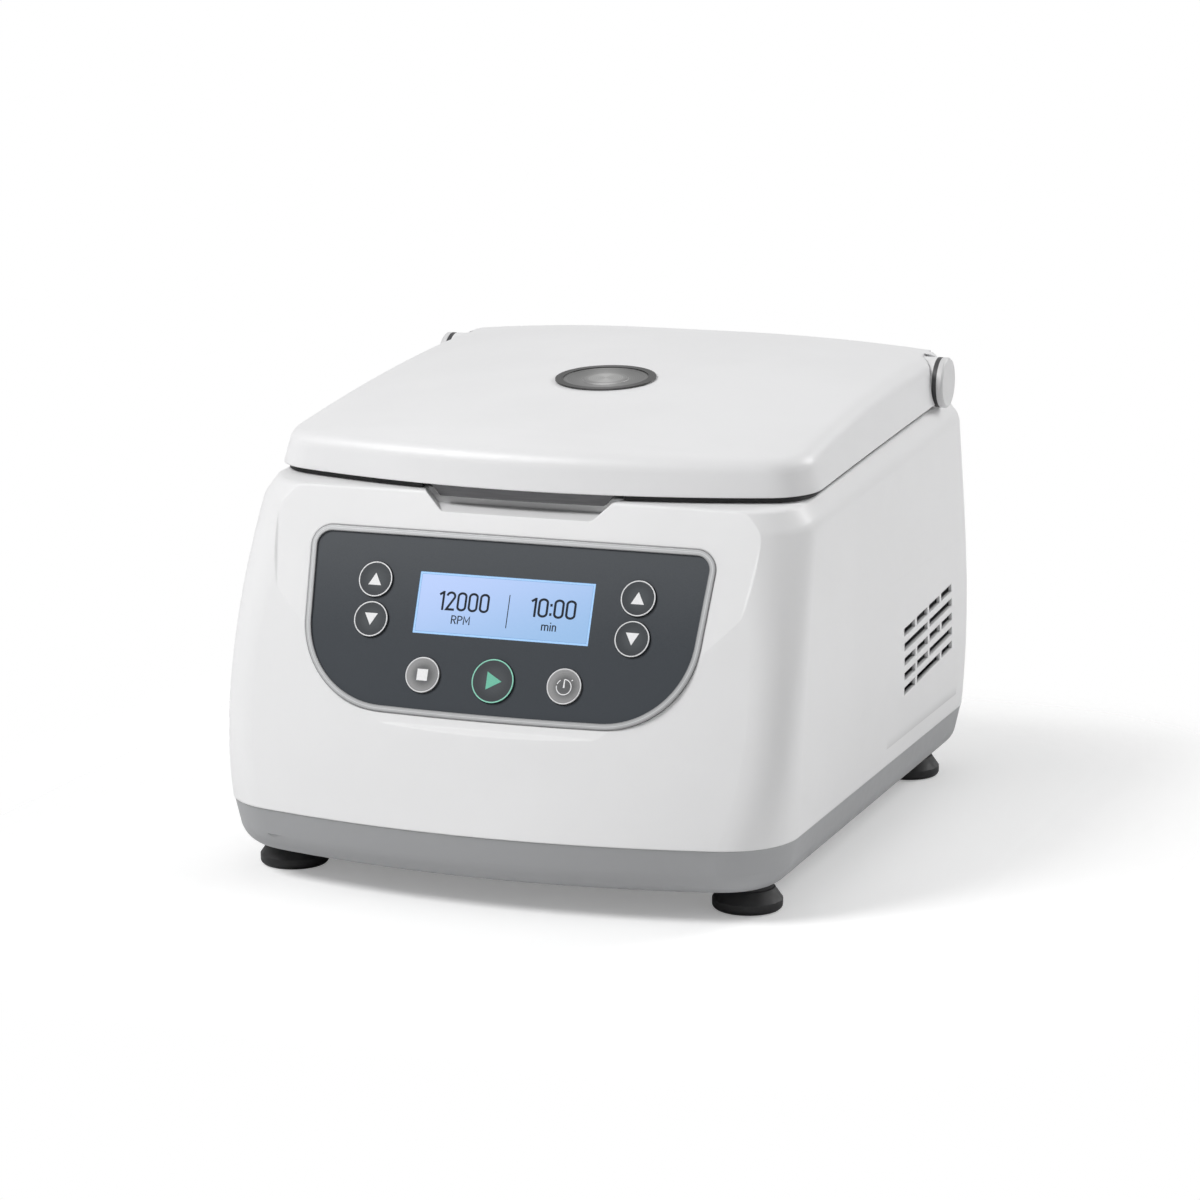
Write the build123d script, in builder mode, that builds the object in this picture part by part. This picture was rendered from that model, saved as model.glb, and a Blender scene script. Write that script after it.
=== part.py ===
from build123d import *
from math import cos, radians, sin, sqrt, tan
import os

# Bench centrifuge for microplates. A white moulded housing stands on a grey tray and four rubber feet.
# A rotor with two swinging plate carriers turns in a round steel bowl under a domed lid, which is hinged
# at the rear. Millimetres. X is to the right seen from the front, the front faces -Y, and Z is up.
# The rotor's axis is the Z axis, and the feet stand on Z = 0.

# ---------------------------------------------------------------- driving dimensions
# body
body_width = 340.0
body_depth = 429.0
foot_height = 16.0
joint_height = 44.4          # parting line between tray and housing
deck_height = 231.5          # top of the housing, over the rotor's axis
deck_tilt = 2.94             # the deck climbs towards the hinges
wall = 3.0
deck_wall = 3.5
shoulder_drop = 11.0         # sloped band round the deck
shoulder_inset = 8.0
shoulder_round = 12.0
deck_round = 4.0
seam = 0.3                   # gap between parts that only meet at a parting line
# front panel
panel_setback = 48.05        # behind the foremost point of the body
panel_height = 165.0
panel_lean = 22.3
front_wall = 5.2
panel_thickness = 2.4
bezel_width = 3.5
bezel_stand = 0.7
# keys
key_radius = 10.2
start_key_radius = 12.5
key_gap = 0.35
key_stand = 0.9
key_travel = 1.0
# display
display_width = 105.6
display_height = 35.5
display_recess = 0.9
# lid
lid_gap = 3.5                # open line between deck and lid
lid_wall = 3.0
lid_side_inset = 7.6         # lid's side inside the housing's, at the open line
lid_side_lean = 16.0         # lean of the lid's sides at the front; they straighten towards the hinges
lid_rear_lean = 5.0
lid_front_lean = 8.3
lid_setback = 70.85
lid_bow_radius = 499.5
lid_corner = 31.0
lid_lip = 20.5               # height of the near-vertical front face
lid_dome_radius = 2100.0      # from front to rear
lid_crown_radius = 1350.0     # from side to side
lid_dome_rise = 48.8         # top of the dome above the deck's height over the rotor
lid_dome_back = 20.15        # the dome's top lies this far in front of the rear wall
lid_draft = 3.0
lid_round = 11.0
band_round = 40.0
band_slope = 20.0            # sloped band between the front face and the dome
# lid hinge
hinge_inset = 55.5           # hinge axis in front of the rear wall
hinge_rise = 15.3            # hinge axis above the deck
roll_radius = 25.0           # rounded rear of the lid, about the hinge axis
roll_end = 35.0              # the roll ends this many degrees below the axis
trough_gap = 1.5
drum_radius = 15.5
drum_inset = 19.0            # drum's inner end inside the housing's side
drum_width = 12.0
cap_width = 4.0
pin_radius = 5.0
running_fit = 0.05
# chamber and rotor
bowl_radius = 125.0
bowl_wall = 1.2
bowl_floor = 111.0
bowl_flange = 4.0
bowl_seat_gap = 0.9          # deck opening round the bowl
gasket_height = 3.3
pivot_radius = 54.0          # rotor axis to carrier pivot
pivot_height = 172.0
plate_length = 127.76        # microplate footprint
plate_width = 85.48
plate_play = 0.6
hang = 17.5                  # pivot down to the floor that a plate stands on
carrier_floor = 2.5
carrier_wall = 1.6
carrier_corner = 4.5
carrier_rim = 9.0            # low side walls above the carrier's floor
trunnion_radius = 4.0
trunnion_boss = 3.0
yoke_gap = 0.7               # carrier boss to yoke arm
yoke_arm = 7.0
spine_half = 7.5
shaft_radius = 4.0           # upper end, in the yoke
shaft_neck = 8.5
# drive
motor_radius = 46.0
motor_height = 62.0
motor_shaft_radius = 5.0
damper_place = 62.0
damper_height = 12.0
motor_plate_height = 96.0
motor_plate_thickness = 3.0
# latch
latch_x = 105.0
latch_axis_y = -131.0
latch_axis_z = 193.0
latch_shaft_radius = 3.0
strike_reach = 15.0
strike_rise = 12.0
strike_rod = 2.0
# feet
foot_side = 31.0
foot_front = 66.85           # front feet behind the foremost point
foot_rear = 36.0             # rear feet in front of the rear wall
foot_radius = 20.0
# rear plate
rear_plate_width = 246.0
rear_plate_height = 90.0
rear_plate_z = 100.0
rear_plate_thickness = 2.0
rear_plate_recess = 3.0
fan_x = -62.0
fan_size = 80.0
fan_depth = 25.0
inlet_x = 45.0
switch_x = 92.0

# ---------------------------------------------------------------- derived places
front_y = -body_depth / 2
rear_y = body_depth / 2
half_width = body_width / 2
lid_half_width = half_width - lid_side_inset
drum_inner_x = half_width - drum_inset
foot_x = half_width - foot_side
deck_slope = tan(radians(deck_tilt))
lid_front = front_y + lid_setback
hinge_y = rear_y - hinge_inset


def deck_at(y):
    """Height of the deck's top face at y."""
    return deck_height + y * deck_slope


hinge_z = deck_at(hinge_y) + hinge_rise
deck_plane = Plane(
    origin=(0, 0, deck_height),
    x_dir=(1, 0, 0),
    z_dir=(0, -sin(radians(deck_tilt)), cos(radians(deck_tilt))),
)
panel_plane = Plane(
    origin=(0, front_y + panel_setback, panel_height),
    x_dir=(1, 0, 0),
    z_dir=(0, -cos(radians(panel_lean)), sin(radians(panel_lean))),
)

# outer form of the housing: height, swell of each side, setback of the front, bow of the front, front corner
# radius, setback of the rear
body_stations = (
    (joint_height, 0.0, 0.0, 27.3, 45.0, 0.0),
    (joint_height + 50.0, 2.5, 17.2, 17.0, 30.0, 0.5),
    (joint_height + 105.0, 1.5, 36.2, 11.0, 28.0, 2.0),
)
shoulder_station = (-3.0, 60.6, 5.0, 38.0, 7.0)
rear_corner = 26.0

os.makedirs("parts", exist_ok=True)


def finish(shape, label):
    """Labels a finished piece and writes it to its own file."""
    shape.label = label
    export_step(shape, f"parts/{label}.step")


# ---------------------------------------------------------------- shared outlines
def body_outline(plane, swell, setback, bow, corner, rear_setback, inset):
    """Plan outline of the body on a plane: bowed front, straight sides, flat rear, rounded corners."""
    side = half_width + swell - inset
    front = front_y + setback + inset
    rear = rear_y - rear_setback - inset
    with BuildSketch(plane) as outline:
        with BuildLine():
            ThreePointArc((-side, front + bow), (0, front), (side, front + bow))
            Polyline((side, front + bow), (side, rear), (-side, rear), (-side, front + bow))
        make_face()
        fillet(outline.vertices().group_by(Axis.Y)[-1], rear_corner - inset)
        fillet(outline.vertices().group_by(Axis.Y)[0], corner - inset)
    return outline.sketch


def body_form(inset, roof):
    """The housing as a full solid, drawn in by inset, with its top face roof below the deck."""
    sections = [body_outline(Plane.XY.offset(height), *station, inset) for height, *station in body_stations]
    shoulder = body_outline(deck_plane.offset(-shoulder_drop), *shoulder_station, inset)
    step = shoulder_inset * (shoulder_drop - roof) / shoulder_drop
    top = body_outline(deck_plane.offset(-roof), *shoulder_station, inset + step)
    with BuildPart() as form:
        loft(sections + [shoulder])
        loft([shoulder, top], ruled=True)
        deck_edges = form.edges().group_by(Axis(deck_plane.origin, deck_plane.z_dir))[-1]
        fillet(deck_edges, max(deck_round - inset, 1))
        crease = form.edges().filter_by(
            lambda e: abs(deck_plane.to_local_coords(e.center()).Z + shoulder_drop) < 0.01
        )
        fillet(crease, shoulder_round - inset)
    return form.part


def panel_outline(plane, inset):
    """Outline of the control panel: wide top with small corners, deep round corners below."""
    top, top_half, bottom_half, bottom, sag = 41.0, 122.5, 115.5, -62.5, 2.5
    top_corner, bottom_corner = 12.0, 54.0
    with BuildSketch(plane) as outline:
        with BuildLine():
            Polyline((-bottom_half, bottom), (-top_half, top), (top_half, top), (bottom_half, bottom))
            ThreePointArc((bottom_half, bottom), (0, bottom - sag), (-bottom_half, bottom))
        make_face()
        fillet(outline.vertices().group_by(Axis.Y)[-1], top_corner)
        fillet(outline.vertices().group_by(Axis.Y)[0], bottom_corner)
        if inset:
            offset(amount=-inset)
    return outline.sketch


# ---------------------------------------------------------------- housing
outer_form = body_form(0, 0)
pad_half_top = 150.5
pad_half_low = 130.0
pad_corner = 46.0
pad_flare = 62.0             # the pad's edge slopes this far from square
brow_round = 2.0             # edge between the pad and the deck
grip_half_top, grip_half_bottom = 59.0, 45.0
grip_floor_v = 52.5
grip_back_y = lid_front + 12.15
grip_ramp = 10.0

with BuildPart() as grip_cutter:
    with BuildSketch(panel_plane.offset(20)) as grip_mouth:
        with BuildLine():
            Polyline(
                (-grip_half_bottom, grip_floor_v),
                (grip_half_bottom, grip_floor_v),
                (grip_half_top, grip_floor_v + 14),
                (grip_half_top, grip_floor_v + 40),
                (-grip_half_top, grip_floor_v + 40),
                (-grip_half_top, grip_floor_v + 14),
                close=True,
            )
        make_face()
        fillet(grip_mouth.vertices().group_by(Axis.Y)[0], 6)
    extrude(amount=-60)
    ramp_foot = panel_plane.from_local_coords(Vector(0, grip_floor_v, 0))
    ramp = Plane(origin=ramp_foot, x_dir=(1, 0, 0), z_dir=(0, -sin(radians(grip_ramp)), cos(radians(grip_ramp))))
    split(bisect_by=ramp, keep=Keep.TOP)
    split(bisect_by=Plane(origin=(0, grip_back_y, 0), z_dir=(0, -1, 0)), keep=Keep.TOP)

with BuildPart() as cavity:
    add(body_form(wall, deck_wall))
    split(bisect_by=panel_plane.offset(-front_wall), keep=Keep.BOTTOM)
    # wall left round the grip recess
    with BuildSketch(Plane.YZ):
        with Locations((grip_back_y + wall - 20, deck_at(grip_back_y) - 8)):
            Rectangle(40, 24)
    extrude(amount=grip_half_top + wall, both=True, mode=Mode.SUBTRACT)
    # wall left under the trough of the lid's rear roll
    with BuildSketch(Plane.YZ):
        with Locations((hinge_y, hinge_z)):
            Circle(roll_radius + trough_gap + wall)
    extrude(amount=drum_inner_x + 3, both=True, mode=Mode.SUBTRACT)
    # thick frame behind the rear plate
    with BuildSketch(Plane.XZ.offset(-rear_y)):
        with Locations((0, rear_plate_z)):
            Rectangle(rear_plate_width + 8, rear_plate_height + 8)
    extrude(amount=rear_plate_recess + rear_plate_thickness + wall, mode=Mode.SUBTRACT)

vent_rows = ((1, 1, 1, 1), (2, 2), (1, 1, 1, 1), (1, 1, 2), (1, 2, 1))
vent_climb = 3.95            # the rows climb towards the rear
vent_pitch_y = 27.6
vent_pitch_z = 9.15
vent_gap = 4.0
vent_slot = 4.8
vent_front = Vector(0, front_y + 262.5, joint_height + 75.7)
vent_plane = Plane(
    origin=vent_front,
    x_dir=(0, cos(radians(vent_climb)), sin(radians(vent_climb))),
    z_dir=(1, 0, 0),
)

boss_radius = 6.5
boss_inset = 24.0
boss_rib = 2.5
boss_places = (
    (-half_width + boss_inset, front_y + 92),
    (half_width - boss_inset, front_y + 92),
    (-half_width + boss_inset, rear_y - 60),
    (half_width - boss_inset, rear_y - 60),
)
boss_height = 34.0
screw_radius = 2.0

with BuildPart() as housing:
    add(outer_form)
    # flat pad round the panel, cut into the bowed front
    with BuildSketch(panel_plane) as pad:
        with BuildLine():
            Polyline((-pad_half_top, 85), (-pad_half_low, -70), (pad_half_low, -70), (pad_half_top, 85), close=True)
        make_face()
        fillet(pad.vertices().group_by(Axis.Y)[0], pad_corner)
    extrude(amount=25, taper=-pad_flare, mode=Mode.SUBTRACT)
    brow = housing.edges().filter_by(
        lambda e: abs(deck_plane.to_local_coords(e.center()).Z) < 0.01
        and abs(panel_plane.to_local_coords(e.center()).Z) < 0.01
    )
    fillet(brow, brow_round)
    add(cavity.part, mode=Mode.SUBTRACT)
    # screw bosses that run down to the tray, with ribs to the side walls
    with BuildSketch(Plane.XY.offset(joint_height)):
        with Locations(*boss_places):
            Circle(boss_radius)
        for x, y in boss_places:
            with Locations((x / abs(x) * (half_width - boss_inset / 2 - 1), y)):
                Rectangle(boss_inset, boss_rib)
    extrude(amount=boss_height)
    with BuildSketch(Plane.XY.offset(joint_height)):
        with Locations(*boss_places):
            Circle(screw_radius)
    extrude(amount=boss_height - 8, mode=Mode.SUBTRACT)
    # panel seat and the window behind it
    extrude(panel_outline(panel_plane, -seam / 2), amount=-panel_thickness, mode=Mode.SUBTRACT)
    extrude(panel_outline(panel_plane, 7), amount=-front_wall - 10, mode=Mode.SUBTRACT)
    # finger recess under the lid's front edge
    add(grip_cutter.part, mode=Mode.SUBTRACT)
    # chamber opening
    with BuildSketch(deck_plane):
        Circle(bowl_radius + bowl_wall + bowl_seat_gap)
    extrude(amount=-deck_wall - 1, mode=Mode.SUBTRACT)
    # trough for the lid's rear roll
    with BuildSketch(Plane.YZ):
        with Locations((hinge_y, hinge_z)):
            Circle(roll_radius + trough_gap)
    extrude(amount=drum_inner_x - 0.5, both=True, mode=Mode.SUBTRACT)
    # slots for the lid's strikers
    with BuildSketch(deck_plane):
        with Locations(*[(side * latch_x, latch_axis_y + strike_reach - 0.5) for side in (-1, 1)]):
            RectangleRounded(24, 13, 3)
    extrude(amount=-deck_wall - 1, mode=Mode.SUBTRACT)
    # side vents
    with BuildSketch(vent_plane):
        for row, spans in enumerate(vent_rows):
            begin = 0
            for span in spans:
                length = span * vent_pitch_y - vent_gap
                with Locations((begin * vent_pitch_y + length / 2, -row * vent_pitch_z)):
                    Rectangle(length, vent_slot)
                begin += span
    extrude(amount=half_width + 10, both=True, mode=Mode.SUBTRACT)
    # seat and opening for the rear plate
    with BuildSketch(Plane.XZ.offset(-rear_y)):
        with Locations((0, rear_plate_z)):
            RectangleRounded(rear_plate_width + seam, rear_plate_height + seam, 6)
    extrude(amount=rear_plate_recess + rear_plate_thickness, mode=Mode.SUBTRACT)
    with BuildSketch(Plane.XZ.offset(-rear_y)):
        with Locations((0, rear_plate_z)):
            RectangleRounded(rear_plate_width - 8, rear_plate_height - 8, 4)
    extrude(amount=20, mode=Mode.SUBTRACT)

finish(housing.part, "housing")

# ---------------------------------------------------------------- base tray and feet
tray_wall = 2.5
tray_step = 0.5              # the tray is this much smaller than the housing at the parting line
tray_taper = 6.0
tray_bottom_radius = 17.0


def tray_form(inset, floor):
    """The tray as a full solid, drawn in by inset, with its underside at height floor."""
    joint_shape = body_stations[0][1:]
    rim = body_outline(Plane.XY.offset(joint_height - seam), *joint_shape, tray_step + inset)
    base = body_outline(Plane.XY.offset(floor), *joint_shape, tray_step + tray_taper + inset)
    with BuildPart() as form:
        loft([rim, base], ruled=True)
        fillet(form.edges().group_by(Axis.Z)[0], tray_bottom_radius - inset)
    return form.part


foot_places = {
    "front_left": (-foot_x, front_y + foot_front),
    "front_right": (foot_x, front_y + foot_front),
    "rear_left": (-foot_x, rear_y - foot_rear),
    "rear_right": (foot_x, rear_y - foot_rear),
}
damper_places = [(x * damper_place, y * damper_place) for x in (-1, 1) for y in (-1, 1)]
post_radius = 7.0
post_top = motor_plate_height - damper_height
screw_head_radius = 4.0

with BuildPart() as tray_posts:
    # posts under the housing's bosses
    with BuildSketch(Plane.XY.offset(foot_height)):
        with Locations(*boss_places):
            Circle(boss_radius)
    extrude(amount=joint_height - seam - foot_height)
    add(tray_form(0, foot_height), mode=Mode.INTERSECT)

with BuildPart() as base_tray:
    add(tray_form(0, foot_height))
    add(tray_form(tray_wall, foot_height + tray_wall), mode=Mode.SUBTRACT)
    add(tray_posts.part)
    with Locations(*[(x, y, foot_height) for x, y in boss_places]):
        Hole(screw_radius, depth=60)
    with BuildSketch(Plane.XY.offset(foot_height - 1)):
        with Locations(*boss_places):
            Circle(screw_head_radius + 0.5)
    extrude(amount=11, mode=Mode.SUBTRACT)
    # ribbed posts that carry the motor's dampers
    with BuildSketch(Plane.XY.offset(foot_height + 1)):
        with Locations(*damper_places):
            Circle(post_radius)
            Rectangle(2 * post_radius + 12, 2.5)
            Rectangle(2.5, 2 * post_radius + 12)
    extrude(amount=24)
    with BuildSketch(Plane.XY.offset(foot_height + 1)):
        with Locations(*damper_places):
            Circle(post_radius)
    extrude(amount=post_top - foot_height - 1)

finish(base_tray.part, "base_tray")

foot_top_radius = 14.5
foot_rim_low = 2.8
foot_rim_high = 6.0
foot_shoulder = 12.5

with BuildPart() as foot:
    with BuildSketch(Plane.XZ):
        with BuildLine():
            Polyline((5, 0), (foot_radius - 2.5, 0))
            ThreePointArc((foot_radius - 2.5, 0), (foot_radius - 0.8, 0.9), (foot_radius, foot_rim_low))
            Polyline(
                (foot_radius, foot_rim_low),
                (foot_radius, foot_rim_high),
                (foot_top_radius + 1, foot_shoulder),
                (foot_top_radius, foot_shoulder),
                (foot_top_radius, foot_height),
                (0, foot_height),
                (0, 5),
                (5, 5),
                (5, 0),
            )
        make_face()
    revolve(axis=Axis.Z)

for name, (x, y) in foot_places.items():
    finish(Pos(x, y, 0) * foot.part, f"foot_{name}")

# ---------------------------------------------------------------- round bowl of the chamber
bowl_opening = 15.0
bowl_neck = 5.0

with BuildPart() as chamber_bowl:
    with BuildSketch(Plane.XZ):
        with BuildLine():
            Polyline(
                (bowl_opening, bowl_floor + bowl_neck),
                (bowl_opening, bowl_floor - bowl_wall),
                (bowl_radius + bowl_wall, bowl_floor - bowl_wall),
                (bowl_radius + bowl_wall, deck_height + 30),
                (bowl_radius, deck_height + 30),
                (bowl_radius, bowl_floor),
                (bowl_opening + bowl_wall, bowl_floor),
                (bowl_opening + bowl_wall, bowl_floor + bowl_neck),
                close=True,
            )
        make_face()
    revolve(axis=Axis.Z)
    split(bisect_by=deck_plane.offset(bowl_wall), keep=Keep.BOTTOM)
    with BuildSketch(deck_plane):
        Circle(bowl_radius + bowl_wall + bowl_flange)
    extrude(amount=bowl_wall)
    with BuildSketch(Plane.XY.offset(deck_height - 20)):
        Circle(bowl_radius)
    extrude(amount=60, mode=Mode.SUBTRACT)

finish(chamber_bowl.part, "chamber_bowl")

# rubber edging on the bowl's rim
with BuildPart() as bowl_gasket:
    with BuildSketch(deck_plane.offset(bowl_wall)):
        Circle(bowl_radius + bowl_wall + bowl_flange)
        Circle(bowl_radius + 0.4, mode=Mode.SUBTRACT)
    extrude(amount=gasket_height)
    fillet(bowl_gasket.faces().sort_by(Axis(deck_plane.origin, deck_plane.z_dir))[-1].edges(), 1.2)

finish(bowl_gasket.part, "bowl_gasket")

# ---------------------------------------------------------------- lid
lid_axis_y = lid_front + lid_bow_radius
lid_bottom_z = deck_at(lid_front) + lid_gap
crease_radius = lid_bow_radius - lid_draft
crease_z = lid_bottom_z + lid_lip
lid_rear = hinge_y + roll_radius + 6
lid_low = deck_height - 21.5
lid_high = deck_height + 60.5
lid_side_z = deck_height + lid_gap


def lid_section(height, inset):
    """Plan outline of the lid at a height, drawn in by inset: bowed front, rounded corners, straight sides."""
    rise = height - lid_side_z
    side = lid_half_width - inset - rise * tan(radians(lid_side_lean))
    rear_side = lid_half_width - inset - rise * tan(radians(lid_rear_lean))
    front = lid_front + inset + (height - lid_bottom_z) * tan(radians(lid_front_lean))
    bow = lid_bow_radius - sqrt(lid_bow_radius**2 - side**2)
    with BuildSketch(Plane.XY.offset(height)) as outline:
        with BuildLine():
            ThreePointArc((-side, front + bow), (0, front), (side, front + bow))
            Polyline((side, front + bow), (rear_side, lid_rear), (-rear_side, lid_rear), (-side, front + bow))
        make_face()
        fillet(outline.vertices().group_by(Axis.Y)[0], lid_corner - inset)
    return outline.sketch


def lid_form(inset, drop, end_angle):
    """The lid as a full solid, drawn in by inset; drop lowers its open underside."""
    dome_y = rear_y - lid_dome_back
    dome_top = deck_height + lid_dome_rise
    crown = lid_crown_radius - inset
    crown_fall = crown - sqrt(crown**2 - half_width**2)
    slope = tan(radians(band_slope))
    crease_y = lid_axis_y - crease_radius
    band_z = crease_z - inset / cos(radians(band_slope))
    bottom_front = deck_at(front_y) + lid_gap - drop
    bottom_rear = deck_at(hinge_y) + lid_gap - drop
    rim_end = (hinge_y + 80 * cos(radians(end_angle)), hinge_z - 80 * sin(radians(end_angle)))
    with BuildPart() as form:
        loft([lid_section(lid_low, inset), lid_section(lid_high, inset)], ruled=True)
        # domed roof: a crown across the lid, swept round a long arc from front to rear
        with BuildSketch(Plane.XZ.offset(-dome_y)):
            with BuildLine():
                side_top = (half_width, dome_top - inset - crown_fall)
                ThreePointArc((-side_top[0], side_top[1]), (0, dome_top - inset), side_top)
                Polyline(
                    side_top,
                    (half_width, dome_top - lid_dome_radius),
                    (-half_width, dome_top - lid_dome_radius),
                    (-side_top[0], side_top[1]),
                )
            make_face()
        revolve(axis=Axis((0, dome_y, dome_top - lid_dome_radius), (1, 0, 0)), mode=Mode.INTERSECT)
        with BuildSketch(Plane.YZ):
            with BuildLine():
                Polyline(
                    (crease_y - 40, band_z - 40 * slope),
                    (crease_y + 60, band_z + 60 * slope),
                    (crease_y + 60, lid_high + 40),
                    (crease_y - 40, lid_high + 40),
                    close=True,
                )
            make_face()
        revolve(axis=Axis((0, lid_axis_y, 0), (0, 0, 1)), mode=Mode.SUBTRACT)
        middle = form.edges().filter_by(lambda e: abs(e.center().X) < 1 and e.center().Y < 0)
        fillet(middle.sort_by(Axis.Z)[-1], band_round - inset)
        rim = form.edges().filter_by(lambda e: e.center().Z > crease_z - 8 and e.center().Y < lid_rear - 20)
        rim = rim.filter_by(lambda e: e.length > 3 and (abs(e.center().X) > 1 or e.center().Y < crease_y + 10))
        fillet(rim, lid_round - inset)
        with BuildSketch(Plane.YZ):
            with BuildLine():
                Polyline((front_y, 100), (hinge_y, 100), (hinge_y, 330), (front_y, 330), close=True)
            make_face()
            with Locations((hinge_y, hinge_z)):
                Circle(roll_radius - inset)
            with BuildLine():
                Polyline(
                    (front_y - 5, bottom_front),
                    (hinge_y, bottom_rear),
                    (hinge_y, hinge_z),
                    rim_end,
                    (hinge_y + 80, 90),
                    (front_y - 5, 90),
                    close=True,
                )
            make_face(mode=Mode.SUBTRACT)
        extrude(amount=body_width, both=True, mode=Mode.INTERSECT)
    return form.part


arch_radius = 17.0
arch_half = drum_inner_x - 1
arch_end = 50.0
port_y = 0.5
port_sink = 0.2
port_radius = 30.0
port_lean = 5.3
port_dome_y = rear_y - lid_dome_back - port_y
port_z = deck_height + lid_dome_rise - lid_dome_radius + sqrt(lid_dome_radius**2 - port_dome_y**2)
port_plane = Plane(
    origin=(0, port_y, port_z),
    x_dir=(1, 0, 0),
    z_dir=(0, -sin(radians(port_lean)), cos(radians(port_lean))),
)
sleeve_radius = 27.0
lid_boss_radius = 5.0
lid_boss_side = 34.4
lid_boss_places = [(x * (lid_half_width - lid_boss_side), y) for x in (-1, 1) for y in (-78, 96)]
liner_plane = deck_plane.offset(lid_gap + 1.5)
liner_thickness = 2.5

with BuildPart() as lid_shell:
    add(lid_form(0, 0, roll_end))
    add(lid_form(lid_wall, 20, roll_end + 30), mode=Mode.SUBTRACT)
    # arches round the hinge drums, open behind
    for side in (-1, 1):
        with BuildSketch(Plane.YZ.offset(side * arch_half)):
            with Locations((hinge_y, hinge_z)):
                Circle(arch_radius)
            with BuildLine():
                Polyline(
                    (hinge_y, hinge_z),
                    (hinge_y + 40 * cos(radians(arch_end)), hinge_z + 40 * sin(radians(arch_end))),
                    (hinge_y + 60, hinge_z - 60),
                    (hinge_y, hinge_z - 60),
                    close=True,
                )
            make_face()
        extrude(amount=side * 30, mode=Mode.SUBTRACT)
    # seat of the port
    with BuildSketch(port_plane.offset(-12)):
        Circle(sleeve_radius)
    extrude(amount=24, mode=Mode.SUBTRACT)

with BuildPart() as lid_bosses:
    with BuildSketch(liner_plane.offset(liner_thickness)):
        with Locations(*lid_boss_places):
            Circle(lid_boss_radius)
    extrude(amount=60)
    add(lid_form(1, 20, roll_end + 30), mode=Mode.INTERSECT)
    with BuildSketch(liner_plane.offset(liner_thickness)):
        with Locations(*lid_boss_places):
            Circle(screw_radius)
    extrude(amount=12, mode=Mode.SUBTRACT)

with BuildPart() as lid_whole:
    add(lid_shell.part)
    add(lid_bosses.part)

finish(lid_whole.part, "lid_shell")

# ---------------------------------------------------------------- what the lid carries
liner_fit = 0.4
grip_depth = 8.0
grip_bow = lid_bow_radius - sqrt(lid_bow_radius**2 - grip_half_top**2)


def liner_top_at(y):
    """Height of the liner's upper face at y."""
    return deck_at(y) + (lid_gap + 1.5 + liner_thickness) / cos(radians(deck_tilt)) + 0.03


with BuildPart() as lid_liner:
    with BuildSketch(Plane.XY.offset(deck_height - 40)):
        with BuildLine():
            Polyline(
                (-body_width, front_y),
                (body_width, front_y),
                (body_width, hinge_y - 24),
                (-body_width, hinge_y - 24),
                close=True,
            )
        make_face()
    extrude(amount=80)
    split(bisect_by=liner_plane, keep=Keep.TOP)
    split(bisect_by=liner_plane.offset(liner_thickness), keep=Keep.BOTTOM)
    add(lid_form(lid_wall + liner_fit, 20, roll_end), mode=Mode.INTERSECT)
    # room for the grip bar's web
    with BuildSketch(Plane.XY.offset(deck_height - 40)):
        with Locations((0, lid_front)):
            Rectangle(2 * grip_half_top, 2 * (grip_depth + grip_bow + 1))
    extrude(amount=80, mode=Mode.SUBTRACT)
    # shallow pressed dish over the chamber
    with BuildSketch(liner_plane):
        Circle(bowl_radius - 14)
    extrude(amount=liner_thickness - 1, taper=20, mode=Mode.SUBTRACT)
    with BuildSketch(liner_plane.offset(liner_thickness)):
        with Locations(*lid_boss_places):
            Circle(screw_radius)
    extrude(amount=-liner_thickness, mode=Mode.SUBTRACT)

finish(lid_liner.part, "lid_liner")

# rubber seal under the liner's edge, in two lengths that stop at the finger recess
seal_inset = 4.2
seal_width = 3.0
seal_clearance = 0.4

with BuildPart() as lid_seal:
    for inset, mode in ((seal_inset, Mode.ADD), (seal_inset + seal_width, Mode.SUBTRACT)):
        loft([lid_section(lid_low, inset), lid_section(lid_high, inset)], ruled=True, mode=mode)
    split(bisect_by=deck_plane.offset(seal_clearance), keep=Keep.TOP)
    split(bisect_by=liner_plane, keep=Keep.BOTTOM)
    split(bisect_by=Plane(origin=(0, hinge_y - 24, 0), z_dir=(0, -1, 0)), keep=Keep.TOP)
    with BuildSketch(Plane.XY.offset(lid_low)):
        with Locations((0, lid_front)):
            Rectangle(2 * grip_half_top + 4, 60)
    extrude(amount=lid_high - lid_low, mode=Mode.SUBTRACT)

finish(lid_seal.part, "lid_seal")

with BuildPart() as lid_screws:
    for x, y in lid_boss_places:
        with Locations(liner_plane.location * Pos(x, y, 0)):
            Cylinder(screw_head_radius, 1.2, align=(Align.CENTER, Align.CENTER, Align.MAX))
            Cylinder(screw_radius, 12, align=(Align.CENTER, Align.CENTER, Align.MIN))

finish(lid_screws.part, "lid_screws")

ring_lip = 0.8
disc_radius = 25.5

with BuildPart() as port_ring:
    with BuildSketch(port_plane.offset(port_sink)):
        Circle(port_radius)
        Circle(disc_radius, mode=Mode.SUBTRACT)
    extrude(amount=ring_lip)
    with BuildSketch(port_plane.offset(port_sink)):
        Circle(sleeve_radius)
        Circle(disc_radius, mode=Mode.SUBTRACT)
    extrude(amount=-7)

finish(port_ring.part, "port_ring")

with BuildPart() as port_disc:
    with BuildSketch(Plane.XZ):
        with BuildLine():
            Polyline(
                (0, -3),
                (disc_radius, -3),
                (disc_radius, 0.4),
                (disc_radius - 1.5, 0.6),
                (disc_radius - 3, 0.1),
                (14, -0.5),
                (13, 0.2),
                (0, 0.5),
                close=True,
            )
        make_face()
    revolve(axis=Axis.Z)

finish(port_plane.location * port_disc.part, "port_disc")

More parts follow.
